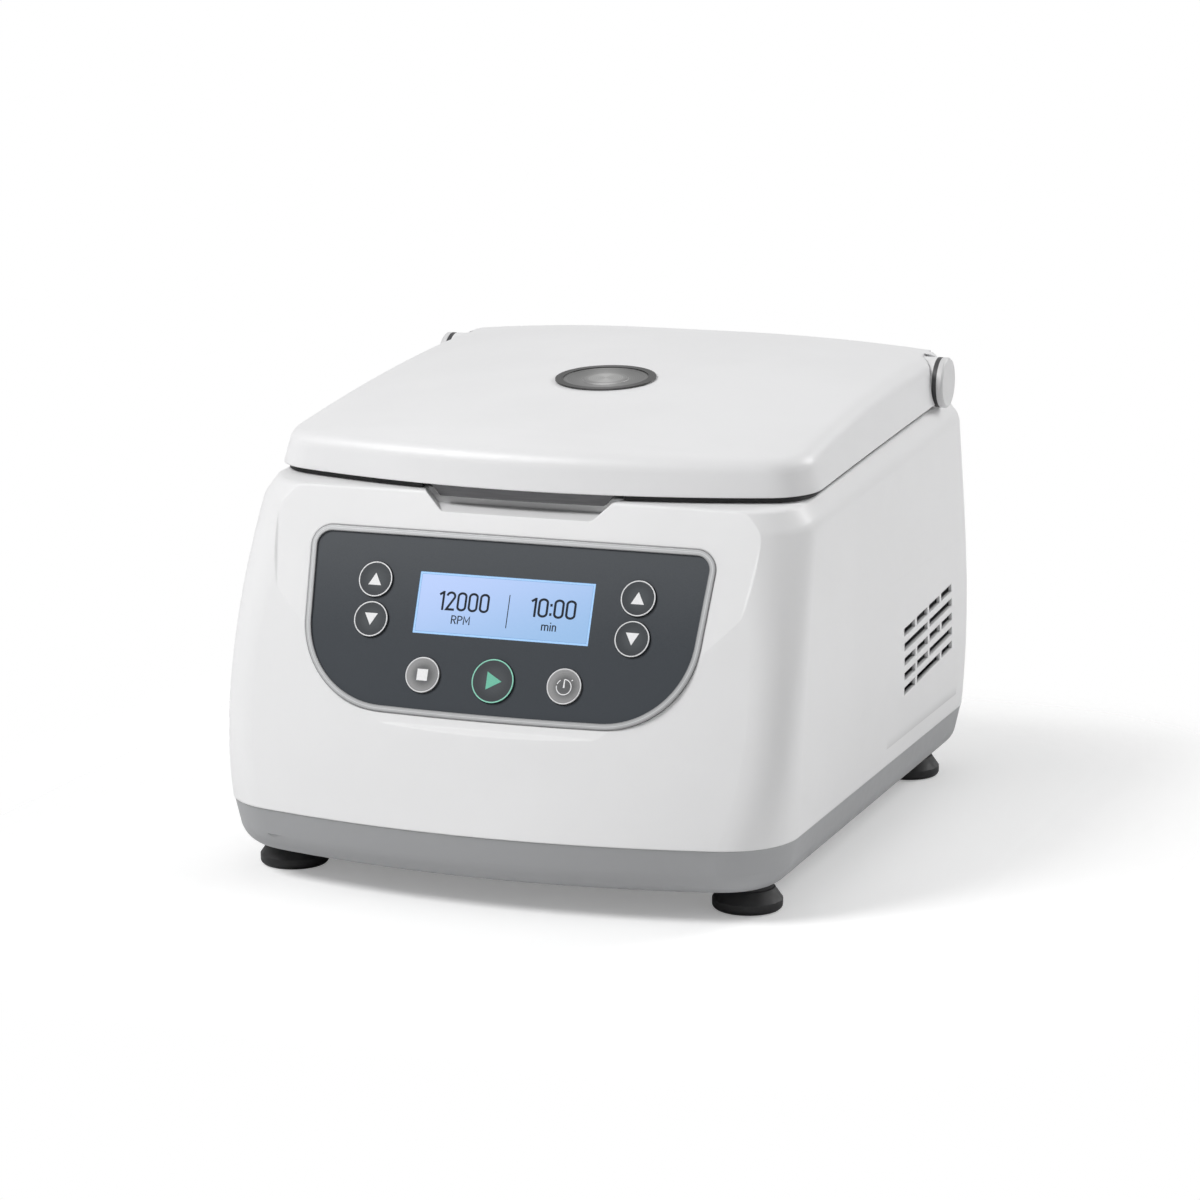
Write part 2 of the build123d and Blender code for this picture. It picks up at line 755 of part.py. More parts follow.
grip_half_angle = 6.35
grip_low = 6.4
with BuildPart() as grip_bar:
    with BuildSketch(Plane.YZ):
        with BuildLine():
            Polyline(
                (lid_front + 3.4, lid_bottom_z - grip_low),
                (lid_front + 7.6, lid_bottom_z - grip_low),
                (lid_front + 8.0, lid_bottom_z - 1),
                (lid_front + 7.5, lid_bottom_z + 9),
                (lid_front + 4.6, lid_bottom_z + 9),
                (lid_front + 3.4, lid_bottom_z + 0.5),
                close=True,
            )
        make_face()
    revolve(axis=Axis((0, lid_axis_y, 0), (0, 0, 1)), revolution_arc=grip_half_angle)
    mirror(about=Plane.YZ)
    # slanted ends that follow the recess
    with BuildSketch(Plane.XZ):
        with BuildLine():
            Polyline(
                (-48.5, lid_bottom_z - grip_low - 1),
                (48.5, lid_bottom_z - grip_low - 1),
                (55.5, lid_bottom_z),
                (55.5, lid_bottom_z + 12),
                (-55.5, lid_bottom_z + 12),
                (-55.5, lid_bottom_z),
                close=True,
            )
        make_face()
    extrude(amount=body_depth, both=True, mode=Mode.INTERSECT)

finish(grip_bar.part, "grip_bar")

arm_inner_x = drum_inner_x - 16
arm_width = 10.0
arm_eye = 11.0
arm_foot = liner_thickness
for name, side in (("left", -1), ("right", 1)):
    with BuildPart() as lid_arm:
        with BuildSketch(Plane.YZ.offset(arm_inner_x + arm_width / 2)):
            with Locations((hinge_y, hinge_z)):
                Circle(arm_eye)
            with BuildLine():
                foot_low = liner_top_at(hinge_y - 64)
                foot_end = liner_top_at(hinge_y - 26)
                Polyline(
                    (hinge_y - 2, hinge_z - arm_eye),
                    (hinge_y - 26, foot_end),
                    (hinge_y - 64, foot_low),
                    (hinge_y - 64, foot_low + 5),
                    (hinge_y - 30, foot_end + 8),
                    (hinge_y - 6, hinge_z + arm_eye - 1.8),
                    close=True,
                )
            make_face()
            with Locations((hinge_y, hinge_z)):
                Circle(pin_radius + running_fit, mode=Mode.SUBTRACT)
        extrude(amount=arm_width / 2, both=True)
    finish(lid_arm.part if side > 0 else mirror(lid_arm.part, about=Plane.YZ), f"lid_arm_{name}")

# strikers: bent rods on small plates, reaching down through the deck's slots
striker_y = latch_axis_y + strike_reach
striker_z = latch_axis_z + strike_rise
striker_half = 6.5
striker_plate = 1.5
striker_top = deck_at(striker_y) + lid_gap + 1.5 - striker_plate / 2
with BuildPart() as lid_strikers:
    for side in (-1, 1):
        with BuildLine() as bend:
            FilletPolyline(
                (side * latch_x - striker_half, striker_y, striker_top),
                (side * latch_x - striker_half, striker_y, striker_z),
                (side * latch_x + striker_half, striker_y, striker_z),
                (side * latch_x + striker_half, striker_y, striker_top),
                radius=3,
            )
        with BuildSketch(Plane(origin=bend.line @ 0, z_dir=bend.line % 0)):
            Circle(strike_rod)
        sweep()
        with BuildSketch(liner_plane):
            with Locations((side * latch_x, striker_y)):
                RectangleRounded(28, 11, 2)
        extrude(amount=-striker_plate)

finish(lid_strikers.part, "lid_strikers")

# ---------------------------------------------------------------- lid hinge
cap_edge = 1.0
pin_inner_x = arm_inner_x - 7

with BuildPart() as drum:
    with BuildSketch(Plane.YZ.offset(drum_inner_x)):
        with Locations((hinge_y, hinge_z)):
            Circle(drum_radius)
            Circle(pin_radius, mode=Mode.SUBTRACT)
    extrude(amount=drum_width)
    split(bisect_by=deck_plane, keep=Keep.TOP)

with BuildPart() as cap:
    with BuildSketch(Plane.YZ.offset(drum_inner_x + drum_width)):
        with Locations((hinge_y, hinge_z)):
            Circle(drum_radius)
    extrude(amount=cap_width)
    chamfer(cap.edges().group_by(Axis.X)[-1], cap_edge)
    split(bisect_by=deck_plane, keep=Keep.TOP)

with BuildPart() as hinge_pins:
    with BuildSketch(Plane.YZ.offset(pin_inner_x)):
        with Locations((hinge_y, hinge_z)):
            Circle(pin_radius)
    extrude(amount=drum_inner_x + drum_width - pin_inner_x)
    mirror(about=Plane.YZ)

finish(drum.part, "hinge_drum_right")
finish(mirror(drum.part, about=Plane.YZ), "hinge_drum_left")
finish(cap.part, "hinge_cap_right")
finish(mirror(cap.part, about=Plane.YZ), "hinge_cap_left")
finish(hinge_pins.part, "hinge_pins")

# ---------------------------------------------------------------- rotor and plate carriers
nest_half_x = (plate_width + plate_play) / 2
nest_half_y = (plate_length + plate_play) / 2
carrier_half_x = nest_half_x + carrier_wall
carrier_half_y = nest_half_y + carrier_wall
carrier_top = pivot_height - hang
carrier_low = carrier_top - carrier_floor
ear_radius = 9.0
boss_face = carrier_half_y + trunnion_boss
arm_face = boss_face + yoke_gap

with BuildPart() as carrier:
    # folded plate seat with a low rim
    with BuildSketch(Plane.XY.offset(carrier_low)):
        with Locations((pivot_radius, 0)):
            RectangleRounded(2 * carrier_half_x, 2 * carrier_half_y, carrier_corner)
    extrude(amount=carrier_floor + carrier_rim)
    with BuildSketch(Plane.XY.offset(carrier_top)):
        with Locations((pivot_radius, 0)):
            RectangleRounded(2 * nest_half_x, 2 * nest_half_y, carrier_corner - carrier_wall)
    extrude(amount=carrier_rim, mode=Mode.SUBTRACT)
    chamfer(carrier.edges().group_by(Axis.Z)[0], 1.5)
    # finger notches in the long walls
    with BuildSketch(Plane.YZ.offset(pivot_radius)):
        with Locations((0, carrier_top + carrier_rim)):
            SlotOverall(46, 2 * carrier_rim - 5)
    extrude(amount=carrier_half_x + 5, both=True, mode=Mode.SUBTRACT)
    # ears that hang on the trunnions
    for side in (-1, 1):
        with BuildSketch(Plane.XZ.offset(-side * carrier_half_y)):
            with BuildLine():
                Polyline(
                    (pivot_radius - 26, carrier_top),
                    (pivot_radius + 26, carrier_top),
                    (pivot_radius + ear_radius * 0.95, pivot_height + 3),
                    (pivot_radius - ear_radius * 0.95, pivot_height + 3),
                    close=True,
                )
            make_face()
            with Locations((pivot_radius, pivot_height)):
                Circle(ear_radius)
        extrude(amount=side * carrier_wall)
        with BuildSketch(Plane.XZ.offset(-side * carrier_half_y)):
            with Locations((pivot_radius, pivot_height)):
                Circle(ear_radius - 1)
        extrude(amount=-side * trunnion_boss)
    with BuildSketch(Plane.XZ):
        with Locations((pivot_radius, pivot_height)):
            Circle(trunnion_radius + running_fit)
    extrude(amount=2 * carrier_half_y, both=True, mode=Mode.SUBTRACT)
    # windows in the floor
    with BuildSketch(Plane.XY.offset(carrier_low)):
        with Locations((pivot_radius, 0)):
            with GridLocations(38, 39, 2, 3):
                RectangleRounded(29, 30, 5)
    extrude(amount=carrier_floor, mode=Mode.SUBTRACT)

finish(carrier.part, "carrier_a")
finish(Rot(0, 0, 180) * carrier.part, "carrier_b")

yoke_top = 187.0
yoke_low = 155.0
hub_radius = 8.5
hub_low = 150.0

with BuildPart() as rotor_yoke:
    # spine between the carriers
    with BuildSketch(Plane.YZ):
        with BuildLine():
            Polyline(
                (-arm_face - 1, pivot_height - 9),
                (-20, hub_low + 2),
                (20, hub_low + 2),
                (arm_face + 1, pivot_height - 9),
                (arm_face + 1, pivot_height + 12),
                (20, yoke_top),
                (-20, yoke_top),
                (-arm_face - 1, pivot_height + 12),
                close=True,
            )
        make_face()
        with Locations((-42, pivot_height + 1), (42, pivot_height + 1)):
            SlotOverall(36, 13, mode=Mode.SUBTRACT)
    extrude(amount=spine_half, both=True)
    with BuildSketch(Plane.XY.offset(hub_low)):
        Circle(hub_radius)
    extrude(amount=yoke_top - hub_low)
    # cross arms at both ends
    for side in (-1, 1):
        with BuildSketch(Plane.XZ.offset(-side * arm_face)):
            with BuildLine():
                Polyline(
                    (-pivot_radius, pivot_height - 9),
                    (0, pivot_height - 14),
                    (pivot_radius, pivot_height - 9),
                    (pivot_radius, pivot_height + 9),
                    (0, pivot_height + 14),
                    (-pivot_radius, pivot_height + 9),
                    close=True,
                )
            make_face()
            with Locations((-pivot_radius, pivot_height), (pivot_radius, pivot_height)):
                Circle(9)
            with Locations((-27, pivot_height), (27, pivot_height)):
                SlotOverall(30, 8, mode=Mode.SUBTRACT)
        extrude(amount=-side * yoke_arm)
        # turned pins that the carriers hang on
        with BuildSketch(Plane.XZ.offset(-side * (nest_half_y + 0.5))):
            with Locations((-pivot_radius, pivot_height), (pivot_radius, pivot_height)):
                Circle(trunnion_radius)
        extrude(amount=-side * (arm_face + 1 - nest_half_y))
    with BuildSketch(Plane.XY.offset(hub_low)):
        Circle(shaft_radius)
    extrude(amount=yoke_top - hub_low, mode=Mode.SUBTRACT)

finish(rotor_yoke.part, "rotor_yoke")

nut_radius = 13.0
nut_height = 11.0
with BuildPart() as rotor_nut:
    with BuildSketch(Plane.XY.offset(yoke_top)):
        Circle(nut_radius)
        with PolarLocations(nut_radius + 1.6, 8):
            Circle(3.2, mode=Mode.SUBTRACT)
        Circle(shaft_radius, mode=Mode.SUBTRACT)
    extrude(amount=nut_height)

finish(rotor_nut.part, "rotor_nut")

motor_low = motor_plate_height - motor_height
bearing_radius = 13.0
bearing_width = 8.0

with BuildPart() as drive_shaft:
    with BuildSketch(Plane.XZ):
        with BuildLine():
            Polyline(
                (0, motor_low + 3),
                (motor_shaft_radius, motor_low + 3),
                (motor_shaft_radius, motor_plate_height + 9),
                (shaft_neck, motor_plate_height + 14),
                (shaft_neck, hub_low - 2),
                (shaft_neck - 1.5, hub_low),
                (shaft_radius, hub_low),
                (shaft_radius, yoke_top + nut_height - 1),
                (shaft_radius - 1, yoke_top + nut_height),
                (0, yoke_top + nut_height),
                close=True,
            )
        make_face()
    revolve(axis=Axis.Z)

finish(drive_shaft.part, "drive_shaft")

# ---------------------------------------------------------------- motor and its mounting
with BuildPart() as motor_housing:
    with BuildSketch(Plane.XY.offset(motor_low)):
        Circle(motor_radius)
    extrude(amount=motor_height)
    chamfer(motor_housing.edges().group_by(Axis.Z)[0], 3)
    with BuildSketch(Plane.XY.offset(motor_low + 12)):
        with PolarLocations(motor_radius, 24):
            Rectangle(5, 3.5)
    extrude(amount=motor_height - 24, mode=Mode.SUBTRACT)
    with BuildSketch(Plane.XY.offset(motor_plate_height)):
        Circle(bearing_radius)
    extrude(amount=-bearing_width - 2, mode=Mode.SUBTRACT)
    with BuildSketch(Plane.XY.offset(motor_low + 2)):
        Circle(bearing_radius)
    extrude(amount=bearing_width, mode=Mode.SUBTRACT)
    with BuildSketch(Plane.XY.offset(motor_low + 2)):
        Circle(motor_shaft_radius + 1.5)
    extrude(amount=motor_height, mode=Mode.SUBTRACT)

finish(motor_housing.part, "motor_housing")

with BuildPart() as motor_bearings:
    for height in (motor_low + 2, motor_plate_height - bearing_width - 2):
        with BuildSketch(Plane.XY.offset(height)):
            Circle(bearing_radius)
            Circle(motor_shaft_radius + running_fit, mode=Mode.SUBTRACT)
        extrude(amount=bearing_width)

finish(motor_bearings.part, "motor_bearings")

with BuildPart() as motor_plate:
    with BuildSketch(Plane.XY.offset(motor_plate_height)):
        RectangleRounded(2 * damper_place + 22, 2 * damper_place + 22, 11)
        Circle(bearing_radius + 3, mode=Mode.SUBTRACT)
        with PolarLocations(motor_radius + 12, 4):
            Circle(9, mode=Mode.SUBTRACT)
    extrude(amount=motor_plate_thickness)

finish(motor_plate.part, "motor_plate")

with BuildPart() as motor_dampers:
    with BuildSketch(Plane.XZ):
        with BuildLine():
            Polyline((0, post_top), (8, post_top), (8, post_top + 3), (6, post_top + 6), (8, motor_plate_height - 3))
            Polyline((8, motor_plate_height - 3), (8, motor_plate_height), (0, motor_plate_height), (0, post_top))
        make_face()
    revolve(axis=Axis.Z)

with BuildPart() as motor_damper_set:
    with Locations(*damper_places):
        add(motor_dampers.part)

finish(motor_damper_set.part, "motor_dampers")

# ---------------------------------------------------------------- control panel
panel_normal = Axis(panel_plane.origin, panel_plane.z_dir)
face_back = -panel_thickness
face_front = -0.5
keys = {
    "key_speed_up": (-79.0, 11.0, key_radius),
    "key_speed_down": (-78.5, -12.0, key_radius),
    "key_time_up": (79.0, 11.0, key_radius),
    "key_time_down": (78.5, -12.0, key_radius),
    "key_stop": (-42.5, -41.5, key_radius),
    "key_start": (0.0, -41.8, start_key_radius),
    "key_timer": (42.5, -41.5, key_radius),
}
face_posts = ((-100, 22), (100, 22), (-86, -34), (86, -34))
board_depth = 13.0
board_thickness = 1.6
board_middle = -10.5

with BuildPart() as panel_bezel:
    extrude(panel_outline(panel_plane.offset(face_back), 0), amount=panel_thickness + bezel_stand)
    chamfer(panel_bezel.faces().sort_by(panel_normal)[-1].edges(), 0.5)
    extrude(panel_outline(panel_plane.offset(face_back), bezel_width), amount=panel_thickness + 5, mode=Mode.SUBTRACT)

finish(panel_bezel.part, "panel_bezel")

with BuildPart() as panel_face:
    extrude(panel_outline(panel_plane.offset(face_back), bezel_width), amount=face_front - face_back)
    with BuildSketch(panel_plane.offset(face_back)):
        Rectangle(display_width, display_height)
        for u, v, radius in keys.values():
            with Locations((u, v)):
                Circle(radius + key_gap)
    extrude(amount=panel_thickness, mode=Mode.SUBTRACT)
    with BuildSketch(panel_plane.offset(face_back)):
        with Locations(*face_posts):
            Circle(3)
    extrude(amount=-(board_depth + face_back))

finish(panel_face.part, "panel_face")

with BuildPart() as lcd_module:
    with BuildSketch(panel_plane.offset(-display_recess)):
        Rectangle(display_width - 0.1, display_height - 0.1)
    extrude(amount=display_recess + face_back)
    with BuildSketch(panel_plane.offset(face_back)):
        Rectangle(display_width + 12, display_height + 10)
    extrude(amount=-6)

finish(lcd_module.part, "lcd_module")

with BuildPart() as control_board:
    with BuildSketch(panel_plane.offset(-board_depth)):
        with Locations((0, board_middle)):
            RectangleRounded(208, 78, 4)
    extrude(amount=-board_thickness)
    with BuildSketch(panel_plane.offset(-board_depth)):
        for u, v, radius in keys.values():
            with Locations((u, v)):
                Rectangle(7, 7)
    extrude(amount=3.4)
    with BuildSketch(panel_plane.offset(-board_depth - board_thickness)):
        with Locations((-50, -8), (10, 2), (58, -20)):
            Rectangle(18, 14)
    extrude(amount=-3)

finish(control_board.part, "control_board")

collar = 1.2
stem_radius = 3.5
stem_end = -8.2
for name, (u, v, radius) in keys.items():
    with BuildPart() as key:
        with BuildSketch(panel_plane.offset(key_stand)):
            with Locations((u, v)):
                Circle(radius)
        extrude(amount=face_back + 0.1 - key_stand)
        fillet(key.faces().sort_by(panel_normal)[-1].edges(), 0.6)
        with BuildSketch(panel_plane.offset(face_back - 0.35)):
            with Locations((u, v)):
                Circle(radius + collar)
        extrude(amount=-1.2)
        with BuildSketch(panel_plane.offset(face_back + 0.2)):
            with Locations((u, v)):
                Circle(radius - 1)
        extrude(amount=-1)
        with BuildSketch(panel_plane.offset(face_back - 1)):
            with Locations((u, v)):
                Circle(stem_radius)
        extrude(amount=stem_end - face_back + 1)
    finish(key.part, name)

# ---------------------------------------------------------------- lid latch
hook_width = 5.0
bracket_x = 114.0
bracket_width = 3.0
release_turn = 25.0
hook_outline = ((-5, 3), (3.5, 21), (17, 20.5), (18.5, 17.5), (18, 15), (11.5, 14.6), (8.5, 3))

for name, side in (("left", -1), ("right", 1)):
    with BuildPart() as hook:
        with BuildSketch(Plane.YZ.offset(side * latch_x)):
            with BuildLine():
                Polyline(*hook_outline, close=True)
            make_face()
            Circle(8)
            Circle(latch_shaft_radius, mode=Mode.SUBTRACT)
        extrude(amount=hook_width / 2, both=True)
    finish(Pos(0, latch_axis_y, latch_axis_z) * Rot(release_turn, 0, 0) * hook.part, f"latch_hook_{name}")

with BuildPart() as latch_shaft:
    with BuildSketch(Plane.YZ.offset(-bracket_x - bracket_width)):
        with Locations((latch_axis_y, latch_axis_z)):
            Circle(latch_shaft_radius)
    extrude(amount=2 * (bracket_x + bracket_width) + 6)

finish(latch_shaft.part, "latch_shaft")

with BuildPart() as latch_brackets:
    for side in (-1, 1):
        with BuildSketch(Plane.YZ.offset(side * bracket_x)):
            with BuildLine():
                Polyline((-136, 186), (-124, 186), (-121, 240), (-136, 240), close=True)
            make_face()
            with Locations((latch_axis_y, latch_axis_z)):
                Circle(latch_shaft_radius + running_fit, mode=Mode.SUBTRACT)
        extrude(amount=side * bracket_width)
        with BuildSketch(deck_plane.offset(-deck_wall)):
            with Locations((side * (bracket_x + 8), -129)):
                Rectangle(16, 14)
        extrude(amount=-2)
    split(bisect_by=deck_plane.offset(-deck_wall), keep=Keep.BOTTOM)

finish(latch_brackets.part, "latch_brackets")

with BuildPart() as latch_motor:
    with BuildSketch(Plane.YZ.offset(bracket_x + bracket_width)):
        with Locations((latch_axis_y, latch_axis_z)):
            RectangleRounded(16, 20, 3)
    extrude(amount=10)
    with BuildSketch(Plane.YZ.offset(bracket_x + bracket_width)):
        with Locations((latch_axis_y, latch_axis_z)):
            Circle(8)
    extrude(amount=26)
    with BuildSketch(Plane.YZ.offset(bracket_x + bracket_width)):
        with Locations((latch_axis_y, latch_axis_z)):
            Circle(latch_shaft_radius + running_fit)
    extrude(amount=7, mode=Mode.SUBTRACT)

finish(latch_motor.part, "latch_motor")

# ---------------------------------------------------------------- rear plate, fan, power inlet and switch
plate_y = rear_y - rear_plate_recess
plate_inner_y = plate_y - rear_plate_thickness
fan_radius = 37.5
fan_hub = 16.0
fan_blades = 7
blade_pitch = 38.0
inlet_cut = (28.0, 21.0)
switch_cut = (16.0, 22.0)
plate_screws = [(x * 116, rear_plate_z + z * 38) for x in (-1, 1) for z in (-1, 1)]
fan_screws = [(fan_x + x * 35.75, rear_plate_z + z * 35.75) for x in (-1, 1) for z in (-1, 1)]

with BuildPart() as rear_plate:
    with BuildSketch(Plane.XZ.offset(-plate_y)):
        with Locations((0, rear_plate_z)):
            RectangleRounded(rear_plate_width, rear_plate_height, 6)
        with Locations((fan_x, rear_plate_z)):
            Circle(fan_radius, mode=Mode.SUBTRACT)
        with Locations((inlet_x, rear_plate_z)):
            RectangleRounded(*inlet_cut, 1.5, mode=Mode.SUBTRACT)
        with Locations((switch_x, rear_plate_z)):
            RectangleRounded(*switch_cut, 1, mode=Mode.SUBTRACT)
    extrude(amount=rear_plate_thickness)

finish(rear_plate.part, "rear_plate")

with BuildPart() as fan_frame:
    with BuildSketch(Plane.XZ.offset(-plate_inner_y)):
        with Locations((fan_x, rear_plate_z)):
            RectangleRounded(fan_size, fan_size, 4)
            Circle(fan_radius + 0.5, mode=Mode.SUBTRACT)
    extrude(amount=fan_depth)
    with BuildSketch(Plane.XZ.offset(-plate_inner_y + fan_depth - 2)):
        with Locations((fan_x, rear_plate_z)):
            Circle(fan_hub)
            Rectangle(2 * fan_radius + 4, 4, rotation=45)
            Rectangle(2 * fan_radius + 4, 4, rotation=-45)
    extrude(amount=2)

finish(fan_frame.part, "fan_frame")

with BuildPart() as fan_impeller:
    with BuildSketch(Plane.XZ.offset(-plate_inner_y + 2.5)):
        with Locations((fan_x, rear_plate_z)):
            Circle(fan_hub)
    extrude(amount=fan_depth - 6)
    with Locations((fan_x, plate_inner_y - fan_depth / 2, rear_plate_z)):
        for blade in range(fan_blades):
            turn = Rot(0, blade * 360 / fan_blades, 0)
            with Locations(turn * Pos((fan_hub + fan_radius) / 2 - 2, 0, 0) * Rot(blade_pitch, 0, 0)):
                Box(fan_radius - fan_hub + 2, 20, 1.4)
    with BuildSketch(Plane.XZ.offset(-plate_inner_y + 1)):
        with Locations((fan_x, rear_plate_z)):
            Circle(fan_radius - 0.6)
    extrude(amount=fan_depth, mode=Mode.INTERSECT)

finish(fan_impeller.part, "fan_impeller")

with BuildPart() as fan_guard:
    with BuildSketch(Plane.XZ.offset(-plate_y - 2)):
        with Locations((fan_x, rear_plate_z)):
            for radius in (10, 19, 28, 37):
                Circle(radius)
                Circle(radius - 1.8, mode=Mode.SUBTRACT)
            Rectangle(84, 1.8, rotation=45)
            Rectangle(84, 1.8, rotation=-45)
    extrude(amount=1.4)
    with BuildSketch(Plane.XZ.offset(-plate_y - 2)):
        with Locations(*fan_screws):
            Circle(5.5)
    extrude(amount=2)

finish(fan_guard.part, "fan_guard")

inlet_front = plate_y + 2.2
inlet_depth = 17.0
with BuildPart() as power_inlet:
    with BuildSketch(Plane.XZ.offset(-inlet_front)):
        with Locations((inlet_x, rear_plate_z)):
            RectangleRounded(33, 26, 2)
    extrude(amount=2.2)
    with BuildSketch(Plane.XZ.offset(-plate_y)):
        with Locations((inlet_x, rear_plate_z)):
            RectangleRounded(*inlet_cut, 1.5)
    extrude(amount=20)
    with BuildSketch(Plane.XZ.offset(-inlet_front)):
        with BuildLine():
            Polyline(
                (inlet_x - 12.2, rear_plate_z - 8.4),
                (inlet_x + 12.2, rear_plate_z - 8.4),
                (inlet_x + 12.2, rear_plate_z + 3.4),
                (inlet_x + 7.2, rear_plate_z + 8.4),
                (inlet_x - 7.2, rear_plate_z + 8.4),
                (inlet_x - 12.2, rear_plate_z + 3.4),
                close=True,
            )
        make_face()
    extrude(amount=inlet_depth, mode=Mode.SUBTRACT)

finish(power_inlet.part, "power_inlet")

with BuildPart() as inlet_pins:
    with BuildSketch(Plane.XZ.offset(-inlet_front + inlet_depth)):
        with Locations((inlet_x - 7, rear_plate_z - 1), (inlet_x + 7, rear_plate_z - 1), (inlet_x, rear_plate_z + 4)):
            Rectangle(2, 4)
    extrude(amount=-14)

finish(inlet_pins.part, "inlet_pins")

switch_front = plate_y + 1.8
rocker_turn = 10.0
rocker_axis_y = plate_y - 3.5
rocker_pin = 1.5
with BuildPart() as switch_frame:
    with BuildSketch(Plane.XZ.offset(-switch_front)):
        with Locations((switch_x, rear_plate_z)):
            RectangleRounded(20, 26, 2)
    extrude(amount=1.8)
    with BuildSketch(Plane.XZ.offset(-plate_y)):
        with Locations((switch_x, rear_plate_z)):
            RectangleRounded(*switch_cut, 1)
    extrude(amount=16)
    with BuildSketch(Plane.XZ.offset(-switch_front)):
        with Locations((switch_x, rear_plate_z)):
            Rectangle(13.6, 19.4)
    extrude(amount=13, mode=Mode.SUBTRACT)
    with BuildSketch(Plane.YZ.offset(switch_x)):
        with Locations((rocker_axis_y, rear_plate_z)):
            Circle(rocker_pin + running_fit)
    extrude(amount=7.9, both=True, mode=Mode.SUBTRACT)

finish(switch_frame.part, "switch_frame")

with BuildPart() as rocker:
    with BuildSketch(Plane.YZ):
        with BuildLine():
            Polyline((4.6, -8.4), (3.2, 0), (4.6, 8.4), (0.5, 8.4), (-5, 3), (-5, -3), (0.5, -8.4), close=True)
        make_face()
    extrude(amount=6.5, both=True)
    with BuildSketch(Plane.YZ):
        Circle(rocker_pin)
    extrude(amount=7.6, both=True)

finish(Pos(switch_x, rocker_axis_y, rear_plate_z) * Rot(-rocker_turn, 0, 0) * rocker.part, "power_rocker")

with BuildPart() as rear_screws:
    with BuildSketch(Plane.XZ.offset(-plate_y - 1.6)):
        with Locations(*plate_screws):
            Circle(3.5)
    extrude(amount=1.6)

finish(rear_screws.part, "rear_screws")

with BuildPart() as housing_screws:
    for x, y in boss_places:
        with BuildSketch(Plane.XY.offset(foot_height + 7)):
            with Locations((x, y)):
                Circle(screw_head_radius)
        extrude(amount=3)
        with BuildSketch(Plane.XY.offset(foot_height + 10)):
            with Locations((x, y)):
                Circle(screw_radius)
        extrude(amount=38)

finish(housing_screws.part, "housing_screws")

# ---------------------------------------------------------------- electronics on the tray's floor
floor_z = foot_height + tray_wall
board_side = 53.0
board_posts = [(x, y) for x in (-26, 26) for y in (-56, 56)]

with BuildPart() as drive_board:
    with Locations((board_side - half_width, 20, floor_z)):
        with Locations(*[(x, y, 0) for x, y in board_posts]):
            Cylinder(3, 8, align=(Align.CENTER, Align.CENTER, Align.MIN))
        with Locations((0, 0, 8)):
            Box(62, 124, 1.6, align=(Align.CENTER, Align.CENTER, Align.MIN))
        with Locations((-18, 0, 9)):
            Box(4, 90, 26, align=(Align.CENTER, Align.CENTER, Align.MIN))
        for y in (-36, -12, 12, 36):
            with Locations((-9, y, 9)):
                Box(14, 3, 24, align=(Align.CENTER, Align.CENTER, Align.MIN))
        with Locations((18, -30, 9), (18, 0, 9), (18, 30, 9)):
            Cylinder(8, 22, align=(Align.CENTER, Align.CENTER, Align.MIN))

finish(drive_board.part, "drive_board")

with BuildPart() as power_supply:
    with Locations((half_width - board_side, 20, floor_z)):
        Box(62, 120, 34, align=(Align.CENTER, Align.CENTER, Align.MIN))
        with Locations((0, 0, 34)):
            with GridLocations(10, 10, 5, 10):
                Box(4, 6, 4, mode=Mode.SUBTRACT)

finish(power_supply.part, "power_supply")
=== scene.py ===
import bpy
from collections import namedtuple
from math import cos, radians, sin
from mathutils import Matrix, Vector


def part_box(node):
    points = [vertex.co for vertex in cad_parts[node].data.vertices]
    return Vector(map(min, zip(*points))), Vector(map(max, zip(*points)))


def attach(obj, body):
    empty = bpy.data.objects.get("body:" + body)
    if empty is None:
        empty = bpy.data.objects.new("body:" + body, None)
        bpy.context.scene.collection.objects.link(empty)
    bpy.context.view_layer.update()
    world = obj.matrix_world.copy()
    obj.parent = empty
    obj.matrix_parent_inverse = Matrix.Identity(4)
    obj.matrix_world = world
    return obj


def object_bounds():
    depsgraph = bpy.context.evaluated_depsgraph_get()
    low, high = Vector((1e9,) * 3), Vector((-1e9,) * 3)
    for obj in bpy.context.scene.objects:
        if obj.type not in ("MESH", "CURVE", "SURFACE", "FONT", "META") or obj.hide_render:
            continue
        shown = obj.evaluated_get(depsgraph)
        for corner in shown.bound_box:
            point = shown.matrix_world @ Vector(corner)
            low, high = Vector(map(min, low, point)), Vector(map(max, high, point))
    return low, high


# A white bench centrifuge for microplates, dressed on its CAD frame. Metres, Z up, the front faces -Y.

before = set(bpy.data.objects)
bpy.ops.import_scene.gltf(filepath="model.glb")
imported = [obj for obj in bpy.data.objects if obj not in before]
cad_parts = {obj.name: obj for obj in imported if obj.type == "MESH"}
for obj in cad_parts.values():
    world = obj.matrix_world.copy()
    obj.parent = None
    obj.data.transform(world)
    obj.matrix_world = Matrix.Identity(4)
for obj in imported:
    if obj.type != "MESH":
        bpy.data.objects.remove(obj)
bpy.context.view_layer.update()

MM = 0.001

# ---------------------------------------------------------------- camera
camera_place = Vector((807.8, -2205.0, 623.6)) * MM
camera_target = Vector((-5.8, 6.35, 135.6)) * MM
camera_data = bpy.data.cameras.new("camera")
camera_data.lens = 120.0
camera_data.sensor_width = 36.0
camera = bpy.data.objects.new("camera", camera_data)
camera.location = camera_place
camera.rotation_euler = (camera_target - camera_place).to_track_quat("-Z", "Y").to_euler()
bpy.context.scene.collection.objects.link(camera)
bpy.context.scene.camera = camera
bpy.context.scene.view_settings.view_transform = "Standard"


